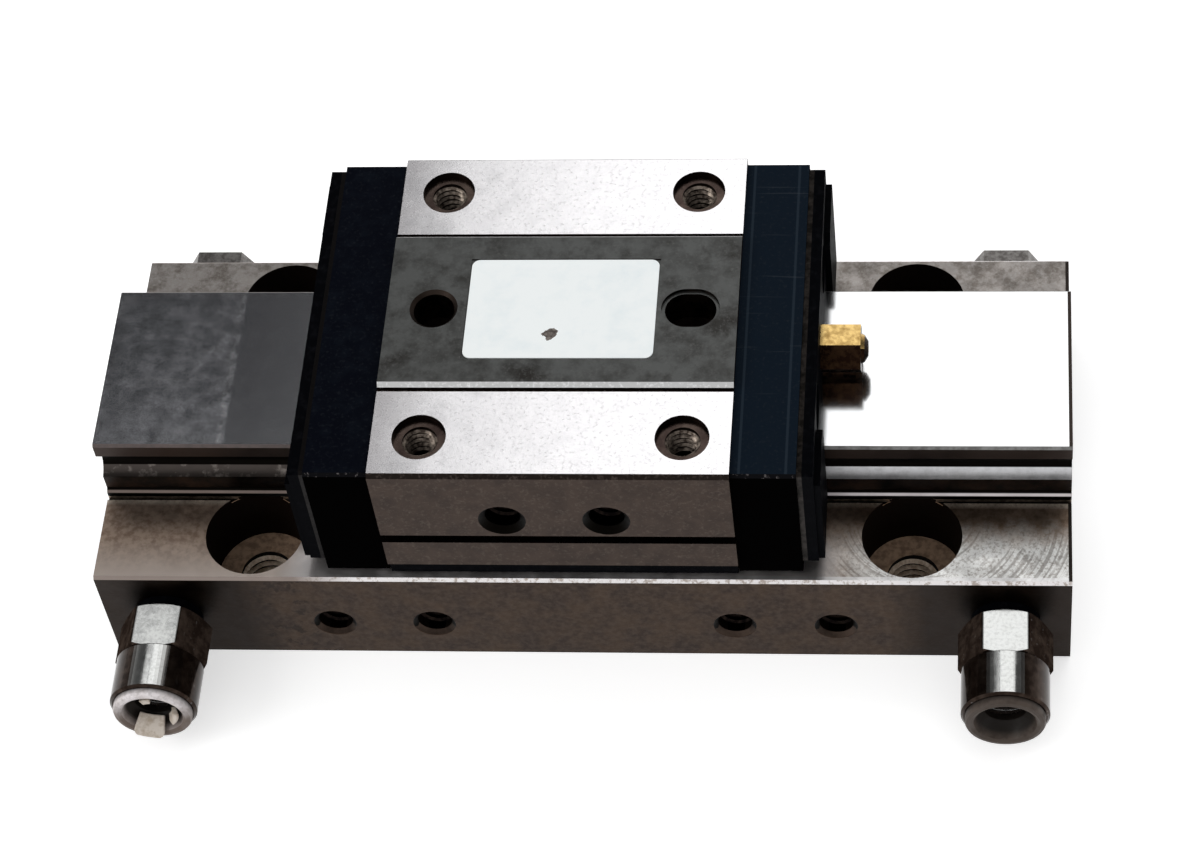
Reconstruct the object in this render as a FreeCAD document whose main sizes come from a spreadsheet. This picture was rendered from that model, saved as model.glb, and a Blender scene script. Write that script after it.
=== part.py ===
import FreeCAD, Part
import math
import os
import Sketcher

# Pneumatic slide cylinder. A T-shaped steel body holds the bore in its base and carries the
# ball races on its rail, and a saddle-shaped carriage runs on the rail over two rows of balls.
# A double-headed piston in the bore drives the carriage through a pin that passes a slot in
# the rail top. +X is the direction of travel, +Y the back, +Z up, and the origin is the
# centre of the base's mounting face.

# Driving dimensions in millimetres
SIZES = (
    # Body: base and rail in one piece
    ("body_length", 96.0),
    ("body_width", 40.0),
    ("base_height", 13.0),
    ("rail_height", 8.0),
    ("rail_width", 19.4),
    ("rail_chamfer", 0.25),
    ("foot_height", 0.5),
    ("foot_flare", 0.4),
    ("relief_width", 0.5),
    ("relief_depth", 0.5),
    ("edge_break", 0.3),
    # Ball races
    ("ball_diameter", 3.2),
    ("race_clearance", 0.15),
    ("race_height", 17.5),
    ("race_outset", 0.4),
    ("turn_radius", 2.15),
    # Bore and its ends
    ("bore_diameter", 16.0),
    ("bore_axis", 9.8),
    ("seat_diameter", 17.0),
    ("end_lip", 0.9),
    ("ring_thickness", 1.0),
    ("ring_groove", 0.6),
    ("plug_thickness", 3.2),
    ("plug_clearance", 0.03),
    ("plug_seal_width", 1.6),
    ("plug_seal_depth", 1.3),
    ("nose_diameter", 11.0),
    ("nose_length", 4.4),
    ("bumper_thickness", 1.4),
    ("bumper_hole", 5.0),
    # Drive
    ("stroke", 20.0),
    ("carriage_rest", -1.2),
    ("stop_gap", 0.1),
    ("pin_diameter", 6.0),
    ("pin_clearance", 0.2),
    ("pin_seat", 4.5),
    ("pin_depth", 5.0),
    ("running_gap", 0.05),
    ("head_length", 8.5),
    ("waist_diameter", 13.0),
    ("seal_width", 2.2),
    ("seal_depth", 1.9),
    ("seal_inset", 1.2),
    ("wear_ring_width", 2.0),
    ("wear_ring_depth", 1.0),
    ("wear_ring_inset", 4.4),
    # Base mounting holes
    ("mount_pitch_long", 65.0),
    ("mount_pitch_wide", 29.0),
    ("mount_hole", 5.2),
    ("counterbore_diameter", 9.8),
    ("counterbore_depth", 7.2),
    # Tapped holes in the sides of the base
    ("side_pitch_inner", 30.0),
    ("side_pitch_outer", 50.0),
    ("side_hole_height", 5.2),
    ("side_hole_depth", 6.0),
    ("side_mouth", 4.3),
    # Ports
    ("port_inset", 6.4),
    ("port_height", 6.5),
    ("port_diameter", 5.0),
    ("port_depth", 4.6),
    ("passage_diameter", 2.4),
    # Carriage block
    ("block_length", 34.2),
    ("block_width", 39.2),
    ("band_height", 30.0),
    ("block_bottom", 14.9),
    ("block_chamfer", 0.4),
    ("ceiling_gap", 0.5),
    ("saddle_gap", 0.5),
    ("strip_width", 18.5),
    ("strip_rise", 0.5),
    ("strip_chamfer", 0.4),
    ("strip_relief", 0.4),
    ("line_height", 19.6),
    ("line_width", 1.2),
    ("line_depth", 0.8),
    # Holes of the carriage
    ("table_pitch_long", 25.0),
    ("table_pitch_wide", 30.0),
    ("tap_diameter", 3.4),
    ("tap_depth", 6.5),
    ("tap_mouth", 5.2),
    ("tap_mouth_depth", 0.7),
    ("dowel_pitch", 25.0),
    ("dowel_diameter", 4.0),
    ("dowel_depth", 4.0),
    ("dowel_mouth", 4.7),
    ("slot_stretch", 1.0),
    ("face_tap_pitch", 10.0),
    ("face_tap_height", 22.8),
    ("face_tap_depth", 6.5),
    ("face_mouth", 4.6),
    # Label
    ("label_length", 18.4),
    ("label_width", 12.0),
    ("label_radius", 0.8),
    ("label_thickness", 0.12),
    # Ends of the carriage
    ("end_width", 38.2),
    ("end_top", 29.5),
    ("end_bottom", 13.4),
    ("end_corner", 0.3),
    ("end_gap", 0.3),
    ("guide_thickness", 1.4),
    ("cap_thickness", 4.8),
    ("seal_plate_thickness", 0.5),
    ("seal_thickness", 1.05),
    ("seal_width_outside", 37.4),
    ("seal_top", 29.2),
    ("seal_bottom", 14.6),
    ("seal_skirt", 0.6),
    ("seal_skirt_top", 27.0),
    ("lip_gap", 0.12),
    ("screw_pitch", 17.0),
    ("screw_height", 25.8),
    ("screw_diameter", 2.5),
    ("screw_head", 4.4),
    ("screw_head_height", 1.3),
    ("screw_grip", 4.5),
    # Seals and retainers under the block
    ("side_seal_inset", 0.4),
    ("side_seal_inner", 11.0),
    ("retainer_height", 0.9),
    ("retainer_thickness", 0.45),
    ("retainer_rebate", 0.25),
    # Grease nipple
    ("nipple_height", 24.1),
    ("nipple_flats", 4.4),
    ("nipple_length", 3.9),
    ("nipple_dome", 0.7),
    ("nipple_thread", 3.0),
    ("nipple_thread_length", 4.0),
    # Push-in fittings
    ("fitting_gasket", 0.8),
    ("fitting_gasket_diameter", 6.8),
    ("fitting_collar", 0.5),
    ("fitting_flats", 8.0),
    ("fitting_hex_length", 4.8),
    ("fitting_barrel", 8.6),
    ("fitting_barrel_length", 4.9),
    ("stud_length", 4.2),
    ("stud_bore", 2.5),
    ("tube_diameter", 4.0),
    ("tube_clearance", 0.1),
    ("tube_socket", 3.2),
    ("collet_bore", 6.4),
    ("tube_seal_length", 1.3),
    ("collet_length", 1.7),
    ("release_flange", 7.8),
    ("release_flange_length", 1.5),
    ("release_stand", 1.0),
    ("release_travel", 0.6),
    ("release_sleeve", 5.2),
    ("release_sleeve_length", 1.0),
    # Blanking plugs
    ("blank_gasket", 0.8),
    ("blank_flats", 8.0),
    ("blank_hex_length", 2.4),
    ("blank_socket", 2.5),
)

doc = FreeCAD.newDocument("SlideCylinder")
sheet = doc.addObject("Spreadsheet::Sheet", "Size")
for row, (alias, value) in enumerate(SIZES, start=1):
    sheet.set(f"A{row}", alias)
    sheet.set(f"B{row}", str(value))
    sheet.setAlias(f"B{row}", alias)
doc.recompute()


def size(alias):
    """The number that the sheet holds for a dimension."""
    return float(getattr(sheet, alias))


# Places that several pieces share, as expressions of the driving dimensions
RAIL_TOP = "(Size.base_height + Size.rail_height)"
RACE_RADIUS = "(Size.ball_diameter / 2 + Size.race_clearance)"
RACE_Y = "(Size.rail_width / 2 + Size.race_outset)"
RETURN_Y = f"({RACE_Y} + 2 * Size.turn_radius)"
PLUG_FACE = "(Size.body_length / 2 - Size.end_lip - Size.ring_thickness)"
BUMPER_FACE = f"({PLUG_FACE} - Size.plug_thickness - Size.nose_length - Size.bumper_thickness)"
PISTON_END = f"({BUMPER_FACE} - Size.stroke / 2 - Size.stop_gap)"
CEILING = f"({RAIL_TOP} + Size.ceiling_gap)"
STRIP_TOP = "(Size.band_height + Size.strip_rise)"
SADDLE = "(Size.rail_width / 2 + Size.saddle_gap)"
GUIDE_FACE = "(Size.block_length / 2 + Size.guide_thickness)"
CAP_FACE = f"({GUIDE_FACE} + Size.cap_thickness)"
PLATE_FACE = f"({CAP_FACE} + Size.seal_plate_thickness)"
SEAL_FACE = f"({PLATE_FACE} + Size.seal_thickness)"
TUBE_BORE = "(Size.tube_diameter + Size.tube_clearance)"
HEX_START = "(Size.fitting_gasket + Size.fitting_collar)"
BARREL_START = f"({HEX_START} + Size.fitting_hex_length)"
BARREL_END = f"({BARREL_START} + Size.fitting_barrel_length)"
RELEASE_FACE = f"({BARREL_END} + Size.release_stand)"
RELEASE_BACK = f"({RELEASE_FACE} - Size.release_flange_length)"
FLANGE_SEAT = f"({RELEASE_BACK} - Size.release_travel - Size.stop_gap)"
COLLET_START = f"({FLANGE_SEAT} - Size.collet_length)"
SEAL_START = f"({COLLET_START} - Size.tube_seal_length)"
SOCKET_END = f"({SEAL_START} - Size.tube_socket)"
PORT_X = "(Size.body_length / 2 - Size.port_inset)"
SIDES = (("left", -1), ("right", 1))
HEX_CORNERS = 6


def new_body(label):
    body = doc.addObject("PartDesign::Body", label)
    body.Label = label
    return body


def new_sketch(body, name, plane, offset=None):
    """A sketch on one of the body's own origin planes, moved along its normal by offset."""
    sketch = body.newObject("Sketcher::SketchObject", name)
    support = [item for item in body.Origin.OriginFeatures if item.Role == plane][0]
    sketch.AttachmentSupport = [(support, "")]
    sketch.MapMode = "FlatFace"
    if offset:
        sketch.setExpression("AttachmentOffset.Base.z", offset)
    return sketch


def bind(sketch, constraint, expression):
    index = sketch.addConstraint(constraint)
    sketch.setExpression(f"Constraints[{index}]", expression)


def pin_point(sketch, geometry, position, across, up):
    """Ties a point of the sketch to the sketch's origin by two bound distances."""
    bind(sketch, Sketcher.Constraint("DistanceX", -1, 1, geometry, position, 1.0), across)
    bind(sketch, Sketcher.Constraint("DistanceY", -1, 1, geometry, position, 1.0), up)


def draw_outline(sketch, corners):
    """A closed outline of straight lines through the corners, given as pairs of expressions."""
    first = sketch.GeometryCount
    count = len(corners)
    for step in range(count):
        start_turn = 2 * math.pi * step / count
        end_turn = 2 * math.pi * (step + 1) / count
        start = FreeCAD.Vector(math.cos(start_turn), math.sin(start_turn), 0)
        end = FreeCAD.Vector(math.cos(end_turn), math.sin(end_turn), 0)
        sketch.addGeometry(Part.LineSegment(start, end), False)
    for step in range(count):
        following = first + (step + 1) % count
        sketch.addConstraint(Sketcher.Constraint("Coincident", first + step, 2, following, 1))
    for step, (across, up) in enumerate(corners):
        pin_point(sketch, first + step, 1, across, up)


def draw_circle(sketch, across, up, diameter):
    circle = Part.Circle(FreeCAD.Vector(1, 1, 0), FreeCAD.Vector(0, 0, 1), 1.0)
    index = sketch.addGeometry(circle, False)
    pin_point(sketch, index, 3, across, up)
    bind(sketch, Sketcher.Constraint("Diameter", index, 1.0), diameter)


def draw_slot(sketch, across, up, stretch, width):
    """A slot with round ends. Its two end centres lie stretch apart along the sketch's X."""
    normal = FreeCAD.Vector(0, 0, 1)
    quarter = math.pi / 2
    left = Part.ArcOfCircle(Part.Circle(FreeCAD.Vector(-5, 0, 0), normal, 2), quarter, 3 * quarter)
    right = Part.ArcOfCircle(Part.Circle(FreeCAD.Vector(5, 0, 0), normal, 2), -quarter, quarter)
    first = sketch.addGeometry(left, False)
    second = sketch.addGeometry(right, False)
    top_line = Part.LineSegment(FreeCAD.Vector(5, 2, 0), FreeCAD.Vector(-5, 2, 0))
    bottom_line = Part.LineSegment(FreeCAD.Vector(-5, -2, 0), FreeCAD.Vector(5, -2, 0))
    top = sketch.addGeometry(top_line, False)
    bottom = sketch.addGeometry(bottom_line, False)
    sketch.addConstraint(Sketcher.Constraint("Tangent", top, 1, second, 2))
    sketch.addConstraint(Sketcher.Constraint("Tangent", top, 2, first, 1))
    sketch.addConstraint(Sketcher.Constraint("Tangent", bottom, 1, first, 2))
    sketch.addConstraint(Sketcher.Constraint("Tangent", bottom, 2, second, 1))
    sketch.addConstraint(Sketcher.Constraint("Equal", first, second))
    pin_point(sketch, first, 3, f"{across} - {stretch} / 2", up)
    pin_point(sketch, second, 3, f"{across} + {stretch} / 2", up)
    bind(sketch, Sketcher.Constraint("Radius", first, 1.0), f"{width} / 2")


def draw_hexagon(sketch, flats):
    """A hexagon about the sketch's origin with a flat to the top and the bottom."""
    corner = f"({flats} / 2 / cos(30deg))"
    corners = []
    for step in range(HEX_CORNERS):
        turn = step * 360 / HEX_CORNERS
        corners.append((f"{corner} * cos({turn}deg)", f"{corner} * sin({turn}deg)"))
    draw_outline(sketch, corners)


def both_sides(half):
    """A whole outline from its right half, listed from the bottom to the top."""
    mirrored = [(f"-({across})", up) for across, up in reversed(half)]
    return half + mirrored


def pad(body, sketch, length, symmetric=False, reverse=False):
    feature = body.newObject("PartDesign::Pad", sketch.Name + "Pad")
    feature.Profile = sketch
    feature.setExpression("Length", length)
    feature.SideType = "Symmetric" if symmetric else "One side"
    feature.Reversed = reverse
    return feature


def pocket(body, sketch, depth, symmetric=False, reverse=False):
    feature = body.newObject("PartDesign::Pocket", sketch.Name + "Pocket")
    feature.Profile = sketch
    feature.setExpression("Length", depth)
    feature.SideType = "Symmetric" if symmetric else "One side"
    feature.Reversed = reverse
    return feature


def revolve(body, sketch, axis="H_Axis"):
    feature = body.newObject("PartDesign::Revolution", sketch.Name + "Turned")
    feature.Profile = sketch
    feature.ReferenceAxis = (sketch, [axis])
    feature.Angle = 360
    return feature


def drill(body, sketch, diameter, depth=None, mouth=None, mouth_depth=None, sink=False, reverse=False):
    """Drilled holes at the sketch's circles, with a counterbore or a countersink at the mouth."""
    doc.recompute()
    hole = body.newObject("PartDesign::Hole", sketch.Name + "Hole")
    hole.Profile = sketch
    hole.Reversed = reverse
    hole.DrillPoint = "Flat"
    hole.DepthType = "Dimension" if depth else "ThroughAll"
    hole.setExpression("Diameter", diameter)
    if depth:
        hole.setExpression("Depth", depth)
    if mouth:
        hole.HoleCutType = "Countersink" if sink else "Counterbore"
        hole.HoleCutCustomValues = True
        hole.setExpression("HoleCutDiameter", mouth)
        if sink:
            hole.HoleCutCountersinkAngle = 90
        else:
            hole.setExpression("HoleCutDepth", mouth_depth)
    doc.recompute()
    return hole


def place(item, across="0", along="0", up="0", turn=0):
    """Puts a piece at its bound place, turned about the vertical by a number of degrees."""
    item.Placement = FreeCAD.Placement(FreeCAD.Vector(), FreeCAD.Rotation(FreeCAD.Vector(0, 0, 1), turn))
    item.setExpression("Placement.Base.x", across)
    item.setExpression("Placement.Base.y", along)
    item.setExpression("Placement.Base.z", up)
    return item


def copy_at(source, across="0", along="0", up="0", turn=0):
    link = doc.addObject("App::Link", source.Name + "Copy")
    link.LinkedObject = source
    link.LinkTransform = False
    return place(link, across, along, up, turn)


def group(label, members):
    """Identical pieces that share one name, each still a solid of its own."""
    compound = doc.addObject("Part::Compound", label)
    compound.Label = label
    compound.Links = members
    return compound


def turned(label, corners):
    """A piece of revolution about its own X axis, from its half outline."""
    body = new_body(label)
    sketch = new_sketch(body, label + "Profile", "XY_Plane")
    draw_outline(sketch, corners)
    revolve(body, sketch)
    return body


nodes = []

# Body
slide_body = new_body("slide_body")
section = new_sketch(slide_body, "BodySection", "YZ_Plane")
foot = "(Size.rail_width / 2 + Size.foot_flare)"
draw_outline(section, both_sides([
    ("Size.body_width / 2", "0"),
    ("Size.body_width / 2", "Size.base_height - Size.edge_break"),
    ("Size.body_width / 2 - Size.edge_break", "Size.base_height"),
    (f"{foot} + Size.relief_width", "Size.base_height"),
    (f"{foot} + Size.relief_width", "Size.base_height - Size.relief_depth"),
    (foot, "Size.base_height - Size.relief_depth"),
    (foot, "Size.base_height + Size.foot_height"),
    ("Size.rail_width / 2", "Size.base_height + Size.foot_height + Size.foot_flare"),
    ("Size.rail_width / 2", f"{RAIL_TOP} - Size.rail_chamfer"),
    ("Size.rail_width / 2 - Size.rail_chamfer", RAIL_TOP),
]))
pad(slide_body, section, "Size.body_length", symmetric=True)

# The two ball races run the whole length of the rail
races = new_sketch(slide_body, "BodyRaces", "YZ_Plane")
for name, sign in SIDES:
    draw_circle(races, f"{sign} * {RACE_Y}", "Size.race_height", f"2 * {RACE_RADIUS}")
pocket(slide_body, races, "Size.body_length + 2", symmetric=True)

# The bore is turned about its own axis with a wider seat and a ring groove at each end
bore = new_sketch(slide_body, "BodyBore", "XZ_Plane")
bore_wall = "Size.bore_axis + Size.bore_diameter / 2"
seat_wall = "Size.bore_axis + Size.seat_diameter / 2"
groove_wall = f"{seat_wall} + Size.ring_groove"
seat_start = f"{PLUG_FACE} - Size.plug_thickness"
half_bore = [
    (seat_start, bore_wall),
    (seat_start, seat_wall),
    (PLUG_FACE, seat_wall),
    (PLUG_FACE, groove_wall),
    (f"{PLUG_FACE} + Size.ring_thickness", groove_wall),
    (f"{PLUG_FACE} + Size.ring_thickness", seat_wall),
    ("Size.body_length / 2 + 1", seat_wall),
    ("Size.body_length / 2 + 1", "Size.bore_axis"),
]
draw_outline(bore, both_sides(half_bore))
axis_line = Part.LineSegment(FreeCAD.Vector(-5, 3, 0), FreeCAD.Vector(5, 3, 0))
axis_index = bore.addGeometry(axis_line, True)
pin_point(bore, axis_index, 1, "-Size.body_length / 2", "Size.bore_axis")
pin_point(bore, axis_index, 2, "Size.body_length / 2", "Size.bore_axis")
bore_cut = slide_body.newObject("PartDesign::Groove", "BodyBoreCut")
bore_cut.Profile = bore
bore_cut.ReferenceAxis = (bore, ["Axis0"])
bore_cut.Angle = 360

# The drive slot lets the pin pass from the bore to the carriage above it
drive_slot = new_sketch(slide_body, "DriveSlot", "XY_Plane", RAIL_TOP)
slot_width = "(Size.pin_diameter + 2 * Size.pin_clearance)"
draw_slot(drive_slot, "0", "0", "Size.stroke + 2 * Size.pin_clearance", slot_width)
pocket(slide_body, drive_slot, f"{RAIL_TOP} - Size.bore_axis")

# Four counterbored holes, open to the counterbore from above
mount_holes = new_sketch(slide_body, "MountHoles", "XY_Plane", "Size.base_height")
for name, sign in SIDES:
    for depth_sign in (-1, 1):
        across = f"{sign} * Size.mount_pitch_long / 2"
        along = f"{depth_sign} * Size.mount_pitch_wide / 2"
        draw_circle(mount_holes, across, along, "Size.mount_hole")
drill(slide_body, mount_holes, "Size.mount_hole",
      mouth="Size.counterbore_diameter", mouth_depth="Size.counterbore_depth")

# Tapped holes and ports on both long sides
for side, face_sign in (("Front", 1), ("Back", -1)):
    face = f"{face_sign} * Size.body_width / 2"
    taps = new_sketch(slide_body, f"{side}Taps", "XZ_Plane", face)
    ports = new_sketch(slide_body, f"{side}Ports", "XZ_Plane", face)
    for name, sign in SIDES:
        for pitch in ("Size.side_pitch_inner", "Size.side_pitch_outer"):
            draw_circle(taps, f"{sign} * {pitch} / 2", "Size.side_hole_height", "Size.tap_diameter")
        draw_circle(ports, f"{sign} * {PORT_X}", "Size.port_height", "Size.port_diameter")
    drill(slide_body, taps, "Size.tap_diameter", "Size.side_hole_depth",
          mouth="Size.side_mouth", sink=True, reverse=face_sign < 0)
    pocket(slide_body, ports, "Size.port_depth", reverse=face_sign < 0)
passages = new_sketch(slide_body, "Passages", "XZ_Plane")
for name, sign in SIDES:
    draw_circle(passages, f"{sign} * {PORT_X}", "Size.port_height", "Size.passage_diameter")
pocket(slide_body, passages, "Size.body_width - Size.port_depth", symmetric=True)
nodes.append(slide_body)

# Ends of the bore
plug_radius = "Size.seat_diameter / 2 - Size.plug_clearance"
seal_floor = f"{plug_radius} - Size.plug_seal_depth"
seal_mid = "-Size.plug_thickness / 2"
seal_ring_groove = "(Size.plug_seal_width / 2 + Size.plug_clearance)"
for name, sign in SIDES:
    plug = turned(f"end_plug_{name}", [
        ("0", "0"),
        ("0", plug_radius),
        (f"{seal_mid} + {seal_ring_groove}", plug_radius),
        (f"{seal_mid} + {seal_ring_groove}", seal_floor),
        (f"{seal_mid} - {seal_ring_groove}", seal_floor),
        (f"{seal_mid} - {seal_ring_groove}", plug_radius),
        ("-Size.plug_thickness", plug_radius),
        ("-Size.plug_thickness", "Size.nose_diameter / 2"),
        ("-Size.plug_thickness - Size.nose_length", "Size.nose_diameter / 2"),
        ("-Size.plug_thickness - Size.nose_length", "0"),
    ])
    puller = new_sketch(plug, f"Puller{name}", "YZ_Plane")
    draw_circle(puller, "0", "0", "Size.stud_bore")
    pocket(plug, puller, "Size.plug_thickness")
    place(plug, f"{sign} * {PLUG_FACE}", "0", "Size.bore_axis", 0 if sign > 0 else 180)
    nodes.append(plug)

plug_seal = turned("PlugSeal", [
    (f"{seal_mid} + Size.plug_seal_width / 2", f"{seal_floor} + Size.plug_clearance"),
    (f"{seal_mid} + Size.plug_seal_width / 2", "Size.seat_diameter / 2"),
    (f"{seal_mid} - Size.plug_seal_width / 2", "Size.seat_diameter / 2"),
    (f"{seal_mid} - Size.plug_seal_width / 2", f"{seal_floor} + Size.plug_clearance"),
])
bumper = turned("Bumper", [
    ("0", "Size.bumper_hole / 2"),
    ("0", "Size.nose_diameter / 2"),
    ("-Size.bumper_thickness", "Size.nose_diameter / 2 - Size.edge_break"),
    ("-Size.bumper_thickness", "Size.bumper_hole / 2"),
])

# Retaining ring: an open ring with two lugs, pressed into the groove behind the lip
retaining_ring = new_body("RetainingRing")
ring_outline = new_sketch(retaining_ring, "RingOutline", "YZ_Plane")
ring_outside = "(Size.seat_diameter + 2 * Size.ring_groove - 2 * Size.plug_clearance)"
draw_circle(ring_outline, "0", "0", ring_outside)
draw_circle(ring_outline, "0", "0", f"{ring_outside} - 4 * Size.ring_groove")
pad(retaining_ring, ring_outline, "Size.ring_thickness")
ring_gap = new_sketch(retaining_ring, "RingGap", "YZ_Plane", "Size.ring_thickness")
draw_outline(ring_gap, [
    ("-2 * Size.ring_thickness", f"-{ring_outside}"),
    ("2 * Size.ring_thickness", f"-{ring_outside}"),
    ("2 * Size.ring_thickness", "0"),
    ("-2 * Size.ring_thickness", "0"),
])
pocket(retaining_ring, ring_gap, "Size.ring_thickness")
ring_lugs = new_sketch(retaining_ring, "RingLugs", "YZ_Plane")
lug_offset = "(3 * Size.ring_thickness)"
lug_drop = f"({ring_outside} / 2 - 2.5 * Size.ring_thickness)"
for name, sign in SIDES:
    draw_circle(ring_lugs, f"{sign} * {lug_offset}", f"-{lug_drop}", "2.6 * Size.ring_thickness")
pad(retaining_ring, ring_lugs, "Size.ring_thickness")
lug_holes = new_sketch(retaining_ring, "LugHoles", "YZ_Plane", "Size.ring_thickness")
for name, sign in SIDES:
    draw_circle(lug_holes, f"{sign} * {lug_offset}", f"-{lug_drop}", "1.2 * Size.ring_thickness")
pocket(retaining_ring, lug_holes, "Size.ring_thickness")

seal_copies = []
ring_copies = []
bumper_copies = []
for name, sign in SIDES:
    turn = 0 if sign > 0 else 180
    nose_face = f"({PLUG_FACE} - Size.plug_thickness - Size.nose_length)"
    seal_copies.append(copy_at(plug_seal, f"{sign} * {PLUG_FACE}", "0", "Size.bore_axis", turn))
    ring_copies.append(copy_at(retaining_ring, f"{sign} * {PLUG_FACE}", "0", "Size.bore_axis", turn))
    bumper_copies.append(copy_at(bumper, f"{sign} * {nose_face}", "0", "Size.bore_axis", turn))
nodes.append(group("end_plug_seals", seal_copies))
nodes.append(group("retaining_rings", ring_copies))
nodes.append(group("bumpers", bumper_copies))

# Push-in fittings, turned about X from the seat face outwards and placed to point forwards
FRONT_TURN = -90
BACK_TURN = 90
for name, sign in SIDES:
    fitting = turned(f"port_fitting_{name}", [
        ("-Size.stud_length", "Size.stud_bore / 2"),
        ("-Size.stud_length", "Size.port_diameter / 2 - Size.plug_clearance"),
        ("Size.fitting_gasket", "Size.port_diameter / 2 - Size.plug_clearance"),
        ("Size.fitting_gasket", "Size.fitting_gasket_diameter / 2"),
        (BARREL_START, "Size.fitting_gasket_diameter / 2"),
        (BARREL_START, "Size.fitting_barrel / 2"),
        (f"{BARREL_END} - Size.edge_break", "Size.fitting_barrel / 2"),
        (BARREL_END, "Size.fitting_barrel / 2 - Size.edge_break / 2"),
        (BARREL_END, "Size.release_flange / 2 + Size.stop_gap"),
        (FLANGE_SEAT, "Size.release_flange / 2 + Size.stop_gap"),
        (FLANGE_SEAT, "Size.collet_bore / 2"),
        (SEAL_START, "Size.collet_bore / 2"),
        (SEAL_START, f"{TUBE_BORE} / 2"),
        (SOCKET_END, f"{TUBE_BORE} / 2"),
        (SOCKET_END, "Size.stud_bore / 2"),
    ])
    hex_sketch = new_sketch(fitting, f"FittingHex{name}", "YZ_Plane", HEX_START)
    draw_hexagon(hex_sketch, "Size.fitting_flats")
    draw_circle(hex_sketch, "0", "0", "Size.fitting_gasket_diameter - Size.edge_break")
    pad(fitting, hex_sketch, "Size.fitting_hex_length")
    place(fitting, f"{sign} * {PORT_X}", "-Size.body_width / 2", "Size.port_height", FRONT_TURN)
    nodes.append(fitting)

gasket = turned("FittingGasket", [
    ("0", "Size.port_diameter / 2"),
    ("0", "Size.fitting_gasket_diameter / 2"),
    ("Size.fitting_gasket", "Size.fitting_gasket_diameter / 2"),
    ("Size.fitting_gasket", "Size.port_diameter / 2"),
])
tube_seal = turned("TubeSeal", [
    (SEAL_START, f"{TUBE_BORE} / 2"),
    (SEAL_START, "Size.collet_bore / 2"),
    (COLLET_START, "Size.collet_bore / 2"),
    (COLLET_START, f"{TUBE_BORE} / 2"),
])
claw_bore = f"({TUBE_BORE} / 2 + Size.stop_gap)"
collet_wall = "(Size.release_sleeve / 2 + Size.stop_gap)"
collet = turned("TubeCollet", [
    (COLLET_START, claw_bore),
    (COLLET_START, "Size.collet_bore / 2"),
    (FLANGE_SEAT, "Size.collet_bore / 2"),
    (FLANGE_SEAT, collet_wall),
    (f"{COLLET_START} + {collet_wall} - {claw_bore}", collet_wall),
])
gasket_copies = []
tube_seal_copies = []
collet_copies = []
for name, sign in SIDES:
    spot = (f"{sign} * {PORT_X}", "-Size.body_width / 2", "Size.port_height", FRONT_TURN)
    gasket_copies.append(copy_at(gasket, *spot))
    tube_seal_copies.append(copy_at(tube_seal, *spot))
    collet_copies.append(copy_at(collet, *spot))
nodes.append(group("fitting_gaskets", gasket_copies))
nodes.append(group("tube_seals", tube_seal_copies))
nodes.append(group("tube_collets", collet_copies))

# Release rings, one to each fitting, pushed in by hand to free the tube
for name, sign in SIDES:
    release = turned(f"release_ring_{name}", [
        (f"{RELEASE_BACK} - Size.release_sleeve_length", f"{TUBE_BORE} / 2 + Size.stop_gap"),
        (f"{RELEASE_BACK} - Size.release_sleeve_length", "Size.release_sleeve / 2"),
        (RELEASE_BACK, "Size.release_sleeve / 2"),
        (RELEASE_BACK, "Size.release_flange / 2"),
        (f"{RELEASE_FACE} - 2 * Size.edge_break", "Size.release_flange / 2"),
        (RELEASE_FACE, "Size.release_flange / 2 - 2 * Size.edge_break"),
        (RELEASE_FACE, f"{TUBE_BORE} / 2 + 2 * Size.edge_break"),
        (f"{RELEASE_FACE} - 2 * Size.edge_break", f"{TUBE_BORE} / 2 + Size.stop_gap"),
    ])
    place(release, f"{sign} * {PORT_X}", "-Size.body_width / 2", "Size.port_height", FRONT_TURN)
    nodes.append(release)

# Blanking plugs close the two ports at the back
blank = new_body("BlankingPlug")
blank_hex = new_sketch(blank, "BlankHex", "YZ_Plane", "Size.blank_gasket")
draw_hexagon(blank_hex, "Size.blank_flats")
pad(blank, blank_hex, "Size.blank_hex_length")
blank_stud = new_sketch(blank, "BlankStud", "YZ_Plane", "Size.blank_gasket")
draw_circle(blank_stud, "0", "0", "Size.port_diameter - 2 * Size.plug_clearance")
pad(blank, blank_stud, "Size.stud_length + Size.blank_gasket", reverse=True)
blank_socket = new_sketch(blank, "BlankSocket", "YZ_Plane", "Size.blank_gasket + Size.blank_hex_length")
draw_hexagon(blank_socket, "Size.blank_socket")
pocket(blank, blank_socket, "Size.blank_hex_length / 2")
blank_gasket = turned("BlankGasket", [
    ("0", "Size.port_diameter / 2"),
    ("0", "Size.fitting_gasket_diameter / 2"),
    ("Size.blank_gasket", "Size.fitting_gasket_diameter / 2"),
    ("Size.blank_gasket", "Size.port_diameter / 2"),
])
blank_copies = []
blank_gasket_copies = []
for name, sign in SIDES:
    spot = (f"{sign} * {PORT_X}", "Size.body_width / 2", "Size.port_height", BACK_TURN)
    blank_copies.append(copy_at(blank, *spot))
    blank_gasket_copies.append(copy_at(blank_gasket, *spot))
nodes.append(group("blanking_plugs", blank_copies))
nodes.append(group("plug_gaskets", blank_gasket_copies))

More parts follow.
